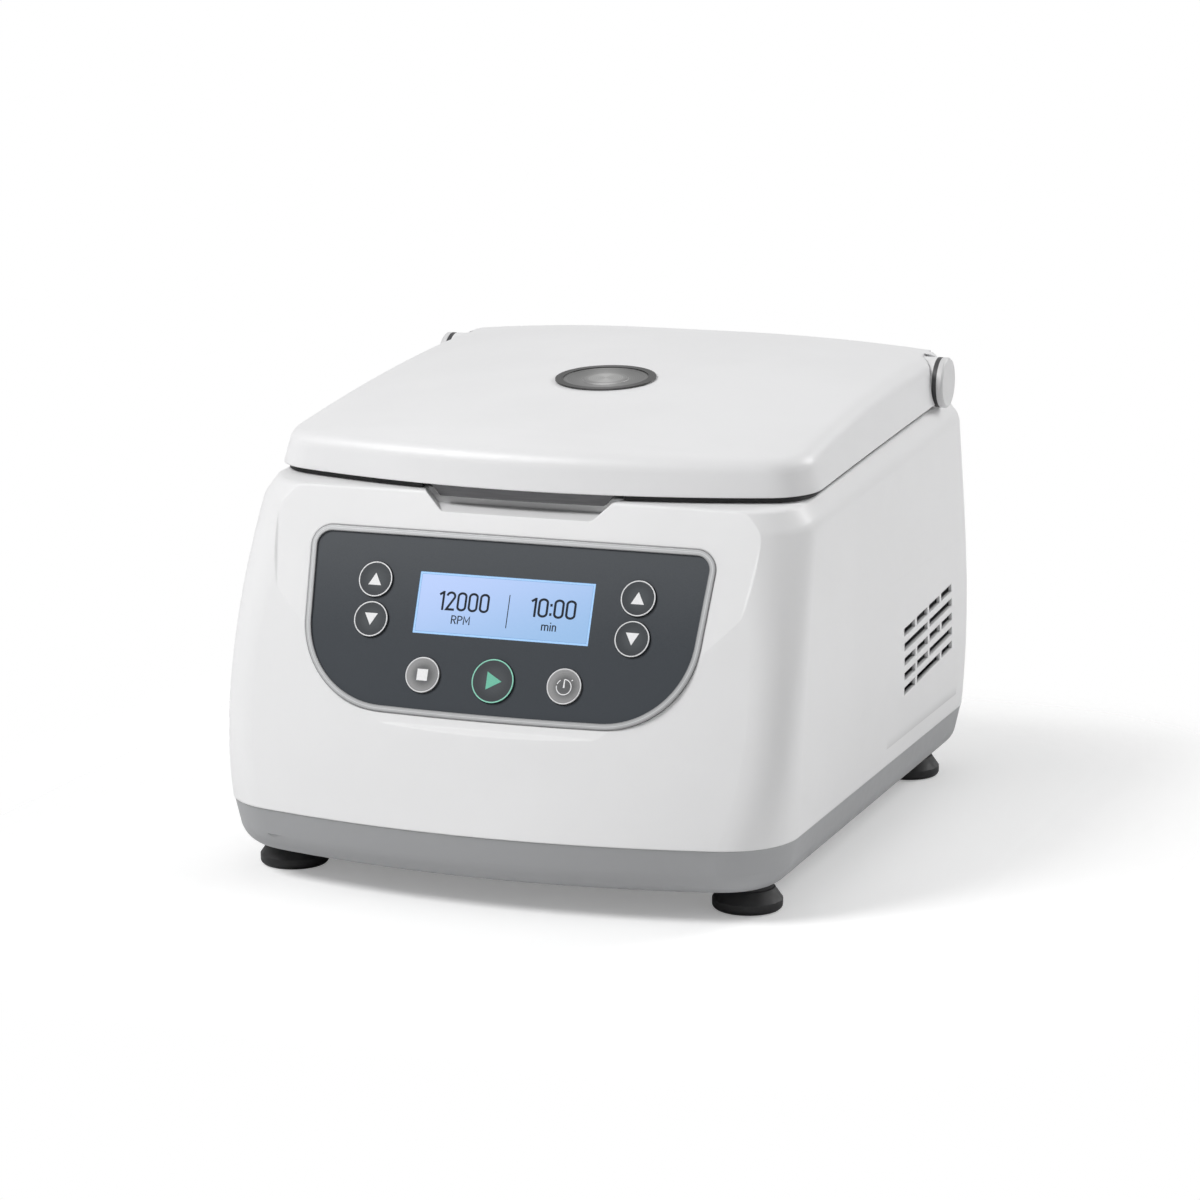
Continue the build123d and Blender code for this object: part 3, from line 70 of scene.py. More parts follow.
# ---------------------------------------------------------------- shader arithmetic
class Field:
    """A number, colour or shader from one node. Arithmetic on a number adds Math nodes to its graph."""

    def __init__(self, graph, socket):
        self.graph = graph
        self.socket = socket

    def math(self, operation, *others):
        sockets = {0: self, **dict(enumerate(others, 1))}
        return self.graph.node("ShaderNodeMath", {"operation": operation}, sockets)

    def __add__(self, other):
        return self.math("ADD", other)

    def __sub__(self, other):
        return self.math("SUBTRACT", other)

    def __mul__(self, other):
        return self.math("MULTIPLY", other)

    def __truediv__(self, other):
        return self.math("DIVIDE", other)

    def __pow__(self, other):
        return self.math("POWER", other)

    def __radd__(self, other):
        return self + other

    def __rmul__(self, other):
        return self * other

    def __rsub__(self, other):
        return self.graph.node("ShaderNodeMath", {"operation": "SUBTRACT"}, {0: other, 1: self})

    def __rtruediv__(self, other):
        return self.graph.node("ShaderNodeMath", {"operation": "DIVIDE"}, {0: other, 1: self})

    def band(self, low, high, start=0.0, end=1.0):
        """Runs from start to end, smoothly, as the number goes from low to high."""
        settings = {"interpolation_type": "SMOOTHSTEP"}
        sockets = {"Value": self, "From Min": low, "From Max": high, "To Min": start, "To Max": end}
        return self.graph.node("ShaderNodeMapRange", settings, sockets)


class Graph:
    """The nodes of a material or of the world."""

    def __init__(self, owner):
        owner.use_nodes = True
        self.tree = owner.node_tree

    def node(self, kind, settings=None, sockets=None, out=0):
        """Adds a node: its settings first, then a value or a link for each socket."""
        node = self.tree.nodes.new(kind)
        for key, value in (settings or {}).items():
            setattr(node, key, value)
        for key, value in (sockets or {}).items():
            if isinstance(value, Field):
                self.tree.links.new(value.socket, node.inputs[key])
            else:
                node.inputs[key].default_value = value
        return Field(self, node.outputs[out])

    def ray(self, kind):
        return self.node("ShaderNodeLightPath", out=kind)

    def mix(self, share, first, second):
        """A shader between two shaders."""
        return self.node("ShaderNodeMixShader", {}, {0: share, 1: first, 2: second})

    def surface(self, shader, output):
        self.tree.links.new(shader.socket, self.tree.nodes[output].inputs["Surface"])


class Finish(Graph):
    """One material and the nodes that make it."""

    def __init__(self, name, roughness, metallic=0.0, specular_level=0.5):
        self.material = bpy.data.materials.new(name)
        super().__init__(self.material)
        self.shader = self.tree.nodes["Principled BSDF"]
        self.shader.inputs["Roughness"].default_value = roughness
        self.shader.inputs["Metallic"].default_value = metallic
        self.shader.inputs["Specular IOR Level"].default_value = specular_level

    def place(self, stretch=(1, 1, 1)):
        """Place on the object, in metres, stretched along each axis."""
        here = self.node("ShaderNodeTexCoord", out="Object")
        return self.node("ShaderNodeVectorMath", {"operation": "MULTIPLY"}, {0: here, 1: stretch})

    def axis(self, name):
        return self.node("ShaderNodeSeparateXYZ", {}, {0: self.place()}, out=name)

    def noise(self, scale, detail=2.0, stretch=(1, 1, 1)):
        sockets = {"Vector": self.place(stretch), "Scale": scale, "Detail": detail}
        return self.node("ShaderNodeTexNoise", {}, sockets)

    def blend(self, share, first, second):
        """A colour between two colours."""
        sockets = {0: share, 6: rgba(first), 7: rgba(second)}
        return self.node("ShaderNodeMix", {"data_type": "RGBA"}, sockets, out=2)

    def tint(self, share, colour, darkest, lightest):
        """One colour, a little darker or lighter where the share says."""
        return self.blend(share, shade(colour, darkest), shade(colour, lightest))

    def feed(self, socket, field):
        self.tree.links.new(field.socket, self.shader.inputs[socket])

    def relief(self, height, distance, softness=0.0):
        """Bumps the surface by a height field; softness rounds the look of its edges, in metres."""
        sockets = {"Height": height, "Distance": distance}
        if softness:
            sockets["Normal"] = self.node("ShaderNodeBevel", {"samples": 6}, {"Radius": softness})
        self.feed("Normal", self.node("ShaderNodeBump", {}, sockets))


def rgba(colour):
    return colour if isinstance(colour, Field) else (*colour, 1.0)


def shade(colour, factor):
    return tuple(min(1.0, channel * factor) for channel in colour)


# ---------------------------------------------------------------- plastics
# Nearly black, for painted shade where little light reaches
shadow_black = (0.05, 0.05, 0.053)
cap_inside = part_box("hinge_cap_right")[0].x
# Width of the drum's strip of painted shade beside each cap, and of its soft edge
gap_shade_width = 2.6 * MM
gap_shade_edge = 0.5 * MM
wall_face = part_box("housing")[1].x
vent_middle = (0.097, 0.105)
vent_reach = (0.078, 0.05)


def moulded(name, colour, roughness, grain=0.000015, grain_scale=2600.0, softness=0.0, shadow=None):
    """Moulded plastic with a fine grain and faint cloudy variation, nearly black with painted shade where
    shadow says.
    """
    finish = Finish(name, roughness)
    cloud = finish.tint(finish.noise(9.0, 3.0).band(0.35, 0.65), colour, 0.985, 1.01)
    if shadow:
        cloud = finish.blend(shadow(finish), cloud, shadow_black)
    finish.feed("Base Color", cloud)
    finish.feed("Roughness", finish.noise(160.0).band(0.3, 0.7, roughness - 0.03, roughness + 0.03))
    finish.relief(finish.noise(grain_scale, 1.0), grain, softness)
    return finish.material


def vent_shade(finish):
    """1 inside the slots of the side vents, where little light reaches: there the housing's colour is
    painted shade.
    """
    depth = wall_face - finish.axis("X").math("ABSOLUTE")
    along = (finish.axis("Y") - vent_middle[0]).math("ABSOLUTE").math("LESS_THAN", vent_reach[0])
    height = (finish.axis("Z") - vent_middle[1]).math("ABSOLUTE").math("LESS_THAN", vent_reach[1])
    return depth.band(1.2 * MM, 3.0 * MM) * along * height


def gap_shade_beside_cap(finish):
    """1 in the narrow strip that the drum shows beside its cap, where its colour is painted shade for the
    gap there.
    """
    beside = cap_inside - finish.axis("X").math("ABSOLUTE")
    return beside.band(gap_shade_width, gap_shade_width + gap_shade_edge, 1.0, 0.0)


white = (0.86, 0.86, 0.865)
body_white = moulded("body_white", white, 0.42, softness=0.0012, shadow=vent_shade)
drum_white = moulded("drum_white", white, 0.42, shadow=gap_shade_beside_cap)
lid_white = moulded("lid_white", (0.87, 0.87, 0.877), 0.4, softness=0.001)
liner_white = moulded("liner_white", (0.8, 0.8, 0.81), 0.5)
# The hinge caps take a darker copy of the white plastic, which is painted shade
cap_white = moulded("cap_white", (0.72, 0.72, 0.725), 0.42, softness=0.0008)
tray_grey = moulded("tray_grey", (0.39, 0.395, 0.405), 0.5)
black_plastic = moulded("black_plastic", (0.02, 0.02, 0.021), 0.45, grain=0.00003)
motor_black = moulded("motor_black", (0.035, 0.035, 0.038), 0.35)
board_green = moulded("board_green", (0.03, 0.13, 0.06), 0.35)
plate_grey = moulded("plate_grey", (0.55, 0.55, 0.56), 0.5, grain=0.00004, grain_scale=900.0)


def make_rubber():
    finish = Finish("rubber_black", 0.6)
    dust = finish.noise(240.0, 4.0)
    clean, dusty = (0.009, 0.009, 0.01), (0.022, 0.022, 0.023)
    finish.feed("Base Color", finish.blend(dust.band(0.45, 0.75), clean, dusty))
    finish.feed("Roughness", dust.band(0.3, 0.8, 0.5, 0.72))
    finish.relief(finish.noise(1500.0, 2.0), 0.00004)
    return finish.material


rubber_black = make_rubber()


# ---------------------------------------------------------------- metals
def brushed(name, colour, roughness, stretch):
    """Metal brushed along the axis that stretch leaves short."""
    finish = Finish(name, roughness, 1.0)
    lines = finish.noise(900.0, 2.0, stretch)
    finish.feed("Base Color", finish.tint(lines.band(0.35, 0.65), colour, 0.9, 1.08))
    finish.feed("Roughness", lines.band(0.3, 0.7, roughness - 0.06, roughness + 0.08))
    finish.relief(lines, 0.00001)
    return finish.material


steel = brushed("steel_satin", (0.5, 0.5, 0.51), 0.34, (1, 0.05, 1))
stainless = brushed("stainless_brushed", (0.55, 0.55, 0.56), 0.3, (1, 1, 0.04))
rotor_alloy = brushed("rotor_alloy", (0.42, 0.42, 0.43), 0.4, (0.2, 1, 1))
grip_dark = brushed("grip_dark", (0.13, 0.13, 0.135), 0.35, (0.04, 1, 1))
brass = brushed("brass_plated", (0.6, 0.5, 0.28), 0.35, (1, 0.1, 1))


def satin(name, colour, roughness, metallic, softness=0.0):
    """Smooth metal or metallic paint with a very fine even grain."""
    finish = Finish(name, roughness, metallic)
    grain = finish.noise(2600.0, 2.0)
    finish.feed("Base Color", finish.tint(grain.band(0.3, 0.7), colour, 0.96, 1.03))
    finish.feed("Roughness", finish.noise(180.0).band(0.3, 0.7, roughness - 0.03, roughness + 0.04))
    finish.relief(grain, 0.000004, softness)
    return finish.material


bezel_silver = satin("bezel_silver", (0.36, 0.365, 0.37), 0.42, 0.6, softness=0.0006)
trim_light = satin("trim_light", (0.47, 0.475, 0.48), 0.4, 0.5)
trim_dark = satin("trim_dark", (0.25, 0.25, 0.255), 0.5, 0.4)
ring_silver = satin("ring_silver", (0.72, 0.72, 0.73), 0.32, 0.35)


# Disc in the lid: its place, and the way that the painted reflection on it, a fan of light, points:
# towards the camera
port_low, port_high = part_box("port_disc")
port_centre = (port_low + port_high) / 2
port_radius = (port_high - port_low).x / 2
painted_fan_way = (camera_place - camera_target).normalized()
ring_pitch = 5200.0


def make_spun(name, light, dark):
    """Metal turned on a lathe: fine rings about an upright axis, with a painted reflection, the bright fan
    that they mirror, and a painted highlight in the middle.
    """
    finish = Finish(name, 0.4, 0.9)
    x = finish.axis("X") - port_centre[0]
    y = finish.axis("Y") - port_centre[1]
    radius = (x * x + y * y) ** 0.5
    towards = (x * painted_fan_way.x + y * painted_fan_way.y) / (radius + 0.0001)
    # Painted reflection: a bright fan on the disc along the line towards the camera
    fan = (towards * towards) ** 3.0
    from_centre = radius / port_radius
    painted_highlight = from_centre.band(0.2, 0.9, 1.0, 0.0) + from_centre.band(0.4, 0.44, 0.4, 0.0)
    ripple = (radius * ring_pitch).math("SINE")
    sockets = {"W": radius * 2400.0, "Detail": 3.0}
    grain = finish.node("ShaderNodeTexNoise", {"noise_dimensions": "1D"}, sockets)
    share = painted_highlight * 0.32 + fan * 0.3 + grain * 0.5 + ripple * 0.06
    finish.feed("Base Color", finish.blend(share.band(0.1, 1.15), dark, light))
    finish.feed("Roughness", grain.band(0.3, 0.7, 0.32, 0.46))
    finish.relief(ripple, 0.00001)
    return finish.material


spun_metal = make_spun("spun_metal", (0.7, 0.7, 0.69), (0.2, 0.2, 0.2))
spun_ring = make_spun("spun_ring", (0.34, 0.34, 0.34), (0.07, 0.07, 0.07))


# ---------------------------------------------------------------- the panel's own axes and its face
panel_lean = radians(22.3)
panel_origin = Vector((0, -166.45, 165.0)) * MM
panel_rise = 41.0 * MM
across = Vector((1, 0, 0))
up_slope = Vector((0, sin(panel_lean), cos(panel_lean)))
outward = across.cross(up_slope)


def on_panel(u, v, out):
    """Place on the panel: u across, v up the slope, out of its face, in millimetres."""
    return panel_origin + (across * u + up_slope * v + outward * out) * MM


def make_slate():
    """Dark coated face of the panel, with painted light that makes it a little lighter towards its top."""
    finish = Finish("panel_slate", 0.46, specular_level=0.25)
    fleck = finish.noise(1400.0, 2.0).band(0.35, 0.65, -0.08, 0.08)
    painted_top_light = ((finish.axis("Z") - panel_origin.z) / panel_rise).band(-0.6, 1.0)
    finish.feed("Base Color", finish.blend(painted_top_light + fleck, (0.04, 0.047, 0.056), (0.068, 0.075, 0.084)))
    finish.feed("Roughness", fleck + 0.42)
    finish.relief(finish.noise(2200.0, 1.0), 0.00001)
    return finish.material


panel_slate = make_slate()


# ---------------------------------------------------------------- finishes of the CAD pieces
def named(start):
    return [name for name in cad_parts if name.startswith(start)]


def assign(names, material):
    for name in names:
        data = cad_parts[name].data
        data.materials.clear()
        data.materials.append(material)


assign(["housing"], body_white)
assign(["lid_shell"], lid_white)
assign(["lid_liner"], liner_white)
assign(["base_tray"], tray_grey)
assign(named("hinge_cap"), cap_white)
assign(named("hinge_drum"), drum_white)
assign(named("foot_") + ["bowl_gasket", "lid_seal", "motor_dampers"], rubber_black)
assign(["chamber_bowl"] + named("carrier_"), stainless)
assign(["motor_housing", "latch_motor"], motor_black)
assign(["control_board", "drive_board"], board_green)
assign(["rear_plate"], plate_grey)
assign(["fan_frame", "fan_impeller", "power_inlet", "switch_frame", "power_rocker"], black_plastic)
assign(["inlet_pins"], brass)
assign(["rotor_yoke", "rotor_nut"], rotor_alloy)
assign(["grip_bar"], grip_dark)
assign(["port_disc"], spun_metal)
assign(["port_ring"], spun_ring)
assign(["panel_bezel"], bezel_silver)
assign(["panel_face"], panel_slate)
assign(["motor_bearings", "motor_plate", "drive_shaft", "power_supply", "fan_guard"], steel)
assign(["hinge_pins", "latch_brackets", "latch_shaft", "latch_hook_left", "latch_hook_right"], steel)
assign(["housing_screws", "rear_screws", "lid_screws", "lid_strikers"] + named("lid_arm_"), steel)


# ---------------------------------------------------------------- new pieces
def build(name, points, faces, material, body):
    """A new piece from points and faces that moves with a body."""
    mesh = bpy.data.meshes.new(name)
    mesh.from_pydata([tuple(p) for p in points], [], faces)
    mesh.materials.append(material)
    piece = bpy.data.objects.new(name, mesh)
    bpy.context.scene.collection.objects.link(piece)
    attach(piece, body)


def raised(name, outline, low, high, material, body, slot):
    """A flat figure on the panel with a little thickness; outline is in panel millimetres."""
    count = len(outline)
    points = [on_panel(u, v, low) for u, v in outline] + [on_panel(u, v, high) for u, v in outline]
    faces = [tuple(range(count, 2 * count))]
    faces += [(i, (i + 1) % count, count + (i + 1) % count, count + i) for i in range(count)]
    build(name, points, faces, material, body)


def ring(name, centre, inner, outer, low, high, material, body, slot, start=0.0, end=360.0):
    """A ring, or part of one, on the panel, with softly rounded top edges."""
    steps = 72
    edge = min(0.12, (outer - inner) / 3)
    outside = [(outer, low), (outer, high - edge), (outer - edge, high)]
    profile = outside + [(inner + edge, high), (inner, high - edge), (inner, low)]
    whole = end - start >= 360
    angles = [radians(start + (end - start) * i / steps) for i in range(steps + (0 if whole else 1))]
    points = []
    for angle in angles:
        for radius, out in profile:
            points.append(on_panel(centre[0] + radius * cos(angle), centre[1] + radius * sin(angle), out))
    size = len(profile)
    turns = len(angles)
    faces = []
    for i in range(turns if whole else turns - 1):
        for j in range(size - 1):
            a, b = i * size, (i + 1) % turns * size
            faces.append((a + j, b + j, b + j + 1, a + j + 1))
    if not whole:
        faces += [tuple(range(size)), tuple(reversed(range((turns - 1) * size, turns * size)))]
    build(name, points, faces, material, body)


def frame_line(name, outer, inner, out, material):
    """A closed line on the panel between two outlines that have as many points each."""
    count = len(outer)
    points = [on_panel(u, v, out) for u, v in outer + inner]
    faces = [(i, (i + 1) % count, count + (i + 1) % count, count + i) for i in range(count)]
    build(name, points, faces, material, "base")


def arc(x, y, across_radius, up_radius, start, end, steps=14):
    """Points along an elliptical arc, from one angle to another in degrees."""
    angles = [radians(start + (end - start) * i / steps) for i in range(steps + 1)]
    return [(x + across_radius * cos(angle), y + up_radius * sin(angle)) for angle in angles]


def make_print(name, colour, glow=0.0):
    """Printed ink with a faint screen-print texture."""
    finish = Finish(name, 0.55, specular_level=0.2)
    ink = finish.blend(finish.noise(1800.0, 1.0).band(0.3, 0.7), shade(colour, 0.94), colour)
    finish.feed("Base Color", ink)
    if glow:
        finish.feed("Emission Color", ink)
        finish.shader.inputs["Emission Strength"].default_value = glow
    return finish.material


# The inks and the green ring of the keys glow a little, which is painted light
ink_white = make_print("ink_white", (0.86, 0.86, 0.87), 0.1)
ink_green = make_print("ink_green", (0.17, 0.52, 0.38), 0.12)
ring_green = make_print("ring_green", (0.3, 0.69, 0.54), 0.12)
ink_dark = make_print("ink_dark", (0.006, 0.011, 0.02))


# ---------------------------------------------------------------- keys
key_face = 0.9
ring_inset, ring_width = 0.05, 0.7
ring_depth, ring_stand = 0.5, 0.12
sign_depth, sign_stand = 0.1, 0.08
KeyLook = namedtuple("KeyLook", "slot radius turned rim middle ring ink")
# Middle and rim colours of the key caps; each cap's colour runs between them, as painted light and
# reflection
slate_rim, slate_middle = (0.036, 0.041, 0.047), (0.062, 0.069, 0.076)
grey_rim, grey_middle = (0.27, 0.27, 0.272), (0.105, 0.107, 0.11)
slate_key = KeyLook("key_slate", 10.2, False, slate_rim, slate_middle, ring_silver, ink_white)
grey_key = slate_key._replace(slot="key_grey", turned=True, rim=grey_rim, middle=grey_middle)
green_key = slate_key._replace(slot="key_green", radius=12.5, ring=ring_green, ink=ink_green)

corners = ((-1, -1), (1, -1), (1, 1), (-1, 1))
up_sign = [(-3.9, -3.4), (3.9, -3.4), (0.0, 3.6)]
down_sign = [(u, -v) for u, v in reversed(up_sign)]
stop_sign = [(u * 3.2, v * 3.3) for u, v in corners]
start_sign = [(-3.6, -5.1), (5.4, 0.0), (-3.6, 5.1)]
timer_hand = [(-0.5, -0.9), (0.5, -0.9), (0.3, 3.9), (-0.3, 3.9)]
timer_knob = [(3.9, 3.6), (4.3, 3.2), (5.1, 3.7), (4.6, 4.2)]
timer_dial = {"": (174.0, 450.0), "_left": (122.0, 160.0)}
dial_drop, dial_inner, dial_outer = 0.4, 4.0, 4.65

keys = {
    "key_speed_up": ((-79.0, 11.0), slate_key, up_sign),
    "key_speed_down": ((-78.5, -12.0), slate_key, down_sign),
    "key_time_up": ((79.0, 11.0), slate_key, up_sign),
    "key_time_down": ((78.5, -12.0), slate_key, down_sign),
    "key_stop": ((-42.5, -41.5), grey_key, stop_sign),
    "key_start": ((0.0, -41.8), green_key, start_sign),
    "key_timer": ((42.5, -41.5), grey_key, timer_hand),
}


def make_key(name, centre, look):
    """Key cap, slate or turned grey metal, with painted light and reflection: its colour runs from its
    middle colour out to its rim colour, and further towards the rim colour on its left side.
    """
    radius = look.radius * MM
    finish = Finish(name, 0.42, 0.3 if look.turned else 0.0, specular_level=0.3)
    sockets = {0: finish.place(), 1: centre}
    away = finish.node("ShaderNodeVectorMath", {"operation": "DISTANCE"}, sockets, out="Value")
    # Painted light: towards its left side, where the lamp stands, a cap moves to its rim colour
    side = (finish.axis("X") - centre.x) / radius
    fleck = finish.noise(1500.0, 2.0).band(0.3, 0.7, -0.05, 0.05)
    share = (away / radius).band(0.15, 1.0) - side * 0.22 + fleck
    finish.feed("Base Color", finish.blend(share.band(0.0, 1.1), look.middle, look.rim))
    finish.feed("Roughness", fleck + 0.42)
    finish.relief((away * ring_pitch).math("SINE") if look.turned else finish.noise(2000.0, 1.0), 0.00001)
    return finish.material


def moved(outline, u, v):
    return [(u + a, v + b) for a, b in outline]


top, low = key_face + sign_stand, key_face - sign_depth
for key, ((u, v), look, sign) in keys.items():
    body = key + "_body"
    assign([key], make_key(key + "_finish", on_panel(u, v, key_face), look))
    outer = look.radius - ring_inset
    ring_low, ring_high = key_face - ring_depth, key_face + ring_stand
    ring(key + "_ring", (u, v), outer - ring_width, outer, ring_low, ring_high, look.ring, body, look.slot)
    raised(key + "_sign", moved(sign, u, v), low, top, look.ink, body, look.slot)

(u, v), look, sign = keys["key_timer"]
timer = (look.ink, "key_timer_body", look.slot)
raised("key_timer_knob", moved(timer_knob, u, v), low, top, *timer)
for part, span in timer_dial.items():
    ring("key_timer_dial" + part, (u, v - dial_drop), dial_inner, dial_outer, low, top, *timer, *span)


# ---------------------------------------------------------------- display
display_half = (52.75, 17.7)
glass_out = -0.9
line_stand = 0.03
divider_stand = 0.06


def make_screen():
    """Lit blue screen, a little brighter at its upper left, with a fine fleck."""
    finish = Finish("lit_screen", 0.3)
    fall = finish.axis("X") * 5.0 - (finish.axis("Z") - panel_origin.z) * 14.0 + 0.5
    blue = finish.blend(fall.band(0.0, 1.0), (0.46, 0.58, 0.9), (0.28, 0.47, 0.74))
    fleck = finish.noise(700.0, 2.0).band(0.3, 0.7, 0.0, 0.06)
    lit = finish.blend(fleck, blue, (0.45, 0.6, 0.8))
    finish.feed("Base Color", finish.blend(0.75, lit, (0.02, 0.03, 0.05)))
    finish.feed("Emission Color", lit)
    finish.shader.inputs["Emission Strength"].default_value = 0.8
    return finish.material


assign(["lcd_module"], make_screen())

# Characters as pen strokes, for a height of 1: how wide each is, and its strokes
bowl = [(0.0, 0.94)] + arc(0.2, 0.715, 0.21, 0.225, 90, -90) + [(0.0, 0.49)]
hump = arc(0.15, 0.5, 0.15, 0.16, 180, 0, 10)
second_hump = [(a + 0.3, b) for a, b in hump]
loop = arc(0.21, 0.77, 0.21, 0.17, 0, 180) + arc(0.21, 0.23, 0.21, 0.17, 180, 360)
short_stem = [(0.0, 0.0), (0.0, 0.7)]
letters = {
    "0": (0.42, [loop + loop[:1]]),
    "1": (0.22, [[(0.22, 0.0), (0.22, 1.0)], [(0.0, 0.8), (0.22, 0.95)]]),
    "2": (0.42, [arc(0.21, 0.75, 0.21, 0.19, 175, -30) + [(0.02, 0.06), (0.45, 0.06)]]),
    ":": (0.0, [[(0.0, 0.12), (0.0, 0.26)], [(0.0, 0.6), (0.0, 0.74)]]),
    "R": (0.42, [[(0.0, 0.0), (0.0, 1.0)], bowl, [(0.2, 0.49), (0.42, 0.0)]]),
    "P": (0.4, [[(0.0, 0.0), (0.0, 1.0)], bowl]),
    "M": (0.56, [[(0.0, 0.0), (0.0, 0.94), (0.28, 0.3), (0.56, 0.94), (0.56, 0.0)]]),
    "m": (0.6, [short_stem, hump + [(0.3, 0.0)], second_hump + [(0.6, 0.0)]]),
    "i": (0.0, [short_stem, [(0.0, 0.86), (0.0, 1.0)]]),
    "n": (0.3, [short_stem, hump + [(0.3, 0.0)]]),
}
pen_width = 0.12
sharpest_turn = 0.45
ink_stand = 0.05
layer_step = 0.004


def pen(stroke):
    """A stroke as a strip of the pen's width: pairs of points, on its left and on its right, along it."""
    path = [Vector(point) for point in stroke]
    strip = []
    for i, point in enumerate(path):
        before = (point - path[i - 1]).normalized() if i else (path[1] - point).normalized()
        after = (path[i + 1] - point).normalized() if i + 1 < len(path) else before
        middle = (before + after).normalized()
        aside = Vector((-middle.y, middle.x)) * (pen_width / 2 / max(sharpest_turn, middle.dot(after)))
        strip.append((point + aside, point - aside))
    return strip


def lettering(name, text, centre, width, height, gap):
    """Thin characters on the screen, drawn with a pen and fitted to a width and height in millimetres."""
    cursor = 0.0
    strips = []
    for letter in text:
        reach, strokes = letters[letter]
        offset = Vector((cursor, 0.0))
        strips += [[(a + offset, b + offset) for a, b in pen(stroke)] for stroke in strokes]
        cursor += reach + gap
    total = cursor - gap + pen_width
    points, faces = [], []
    for layer, strip in enumerate(strips):
        start = len(points)
        out = glass_out + ink_stand + layer_step * layer
        for pair in strip:
            for spot in pair:
                u = centre[0] + ((spot.x + pen_width / 2) / total - 0.5) * width
                v = centre[1] + (spot.y - 0.5) * height
                points.append(on_panel(u, v, out))
        for a in range(start, start + 2 * (len(strip) - 1), 2):
            faces.append((a, a + 1, a + 3, a + 2))
    build(name, points, faces, ink_dark, "base")


digit_height, unit_height = 11.0, 4.9
lettering("speed_digits", "12000", (-24.4, 1.9), 31.0, digit_height, 0.2)
lettering("speed_unit", "RPM", (-24.9, -8.6), 11.4, unit_height, 0.2)
lettering("time_digits", "10:00", (29.3, 1.9), 27.6, digit_height, 0.2)
lettering("time_unit", "min", (28.2, -8.5), 9.0, unit_height, 0.22)


def screen_outline(inset):
    return [(a * (display_half[0] - inset), b * (display_half[1] - inset)) for a, b in corners]


screen_lines = (
    ("screen_edge", 0.0, 1.1, make_print("screen_edge", (0.36, 0.58, 0.88), 0.35)),
    ("screen_frame", 1.1, 1.35, make_print("screen_frame", (0.2, 0.36, 0.6), 0.3)),
)
for name, start, end, material in screen_lines:
    outer, inner = screen_outline(start), screen_outline(end)
    frame_line(name, outer, inner, glass_out + line_stand, material)
divider = [(2.5, -11.2), (3.0, -11.2), (3.0, 7.9), (2.5, 7.9)]
raised("screen_divider", divider, glass_out, glass_out + divider_stand, ink_dark, "base", "display")

# ---------------------------------------------------------------- bezel
side_lean = 3.87
foot_lean = 1.4
top_corner = (109.66, 29.0, 12.0)
foot_corner = (64.92, -10.2, 54.0)
foot_sag = 2.5
foot_span = 115.5
foot_step = 12
bezel_face = 0.7


def bezel_outline(inset):
    """The panel's outline, drawn in by an inset: small corners above, deep round ones below."""
    reach = top_corner[2] - inset
    upper = arc(top_corner[0], top_corner[1], reach, reach, 90, -side_lean)
    reach = foot_corner[2] - inset
    lower = arc(foot_corner[0], foot_corner[1], reach, reach, -side_lean, foot_lean - 90, 30)
    middle = foot_corner[1] - reach - foot_sag * (foot_corner[0] / foot_span) ** 2
    foot = [(u, middle + foot_sag * (u / foot_span) ** 2) for u in range(48, -49, -foot_step)]
    right = upper + lower
    return right + foot + [(-u, v) for u, v in reversed(right)]


# Lines around the bezel: a painted shadow at its outer edge, a painted highlight along its ridge and a
# line of painted shade inside it
bezel_lines = (
    ("bezel_shadow_line", 0.05, 0.5, trim_dark),
    ("bezel_ridge_line", 1.5, 2.0, trim_light),
    ("bezel_inner_line", 3.0, 3.45, trim_dark),
)
for name, start, end, material in bezel_lines:
    outer, inner = bezel_outline(start), bezel_outline(end)
    frame_line(name, outer, inner, bezel_face + line_stand, material)

# ---------------------------------------------------------------- floor and light
floor_lift = 0.25
floor_reach = 2.0
lamp_aim = Vector((0, 0, 0.15))
fade_start, fade_end = 0.02, 0.26


def stage(name, data):
    """Adds an object that is no part of the centrifuge."""
    thing = bpy.data.objects.new(name, data)
    bpy.context.scene.collection.objects.link(thing)
    return thing


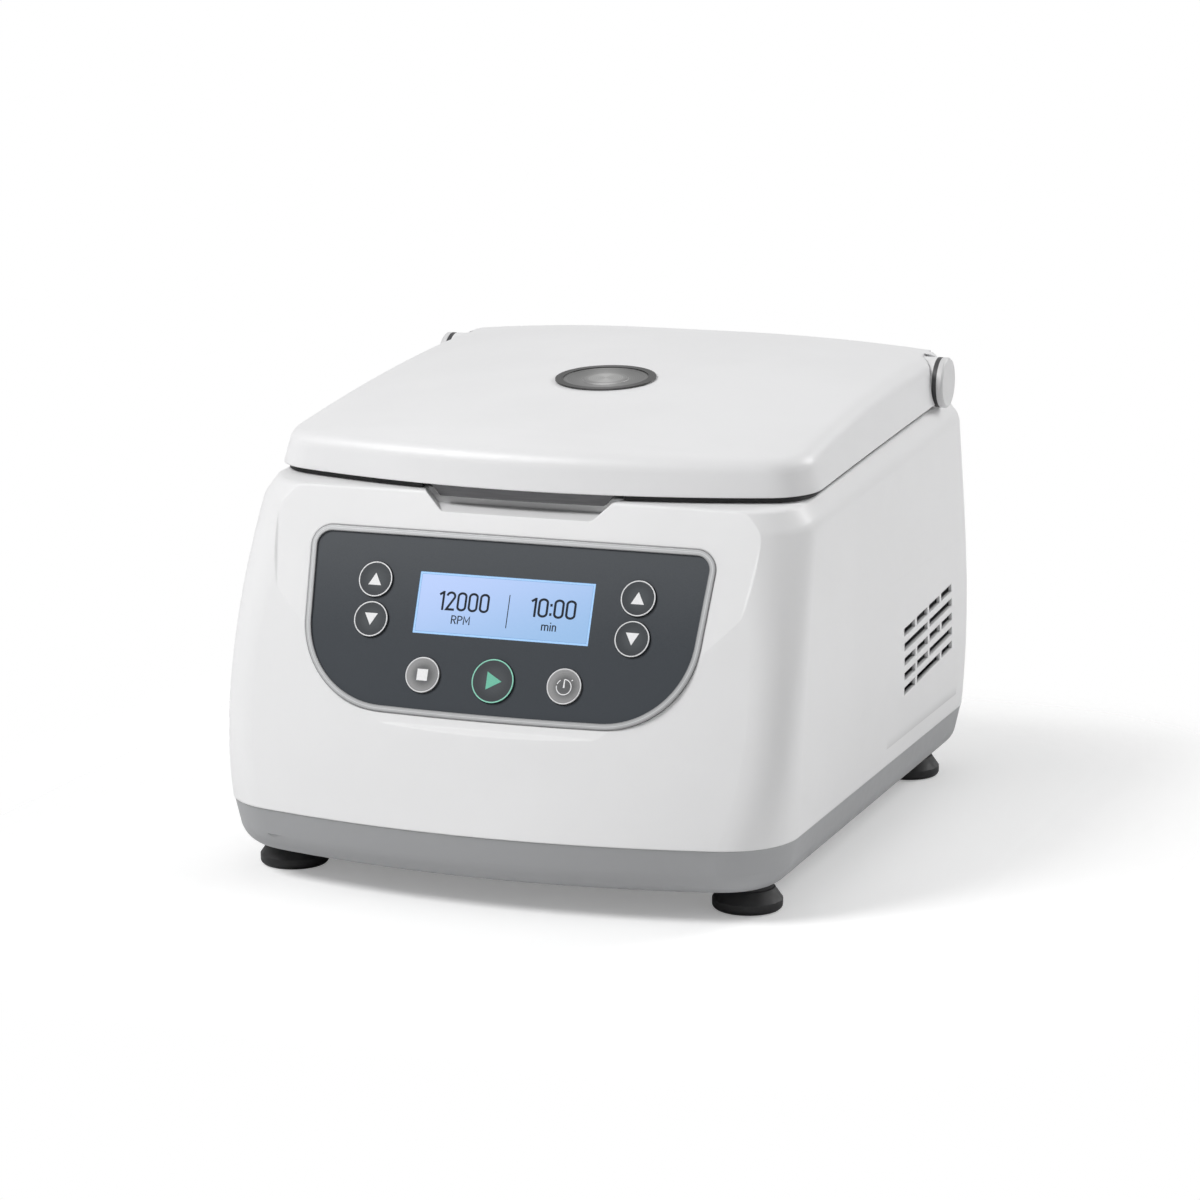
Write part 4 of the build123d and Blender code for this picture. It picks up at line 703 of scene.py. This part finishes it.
def make_floor():
    """White paper. The camera sees it a little brighter, so that it runs into the white backdrop."""
    finish = Finish("floor_white", 0.9, specular_level=0.0)
    finish.feed("Base Color", finish.blend(finish.noise(30.0, 2.0), (0.9, 0.9, 0.9), (0.92, 0.92, 0.92)))
    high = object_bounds()[1]
    beyond_x = (finish.axis("X").math("ABSOLUTE") - high[0]).math("MAXIMUM", 0.0)
    beyond_y = (finish.axis("Y").math("ABSOLUTE") - high[1]).math("MAXIMUM", 0.0)
    away = (beyond_x * beyond_x + beyond_y * beyond_y) ** 0.5
    seen = finish.ray("Is Camera Ray")
    lift = finish.node("ShaderNodeEmission", {}, {"Strength": seen * floor_lift})
    lit = finish.node("ShaderNodeAddShader", {}, {0: Field(finish, finish.shader.outputs[0]), 1: lift})
    clear = finish.node("ShaderNodeBsdfTransparent")
    finish.surface(finish.mix(away.band(fade_start, fade_end) * seen, lit, clear), "Material Output")
    return finish.material


floor_mesh = bpy.data.meshes.new("floor")
floor_mesh.from_pydata([(x * floor_reach, y * floor_reach, 0) for x, y in corners], [], [(0, 1, 2, 3)])
floor_mesh.materials.append(make_floor())
stage("floor", floor_mesh)


def softbox(name, place, size, watts):
    """A round soft lamp that points at the middle of the object."""
    light = bpy.data.lights.new(name, "AREA")
    light.shape = "DISK"
    light.size = size
    light.energy = watts
    lamp = stage(name, light)
    lamp.location = place
    lamp.rotation_euler = (lamp_aim - Vector(place)).to_track_quat("-Z", "Y").to_euler()


softbox("key_light", (-1.5, -1.6, 2.4), 1.4, 66.0)
softbox("side_light", (2.6, 0.0, 1.2), 1.4, 8.0)
softbox("rear_light", (1.8, 2.0, 1.8), 1.4, 36.0)
softbox("top_light", (0.0, 0.2, 3.0), 2.0, 5.0)


def light_room(level, mirrored):
    """Even light from all round. The camera sees plain white behind the floor, and metal mirrors more."""
    world = bpy.data.worlds.new("studio")
    room = Graph(world)
    plain, shiny, backdrop = (
        room.node("ShaderNodeBackground", {}, {"Color": (strength, strength, strength, 1.0)})
        for strength in (level, mirrored, 1.0)
    )
    lit = room.mix(room.ray("Is Glossy Ray"), plain, shiny)
    room.surface(room.mix(room.ray("Is Camera Ray"), lit, backdrop), "World Output")
    bpy.context.scene.world = world


light_room(0.2, 0.6)
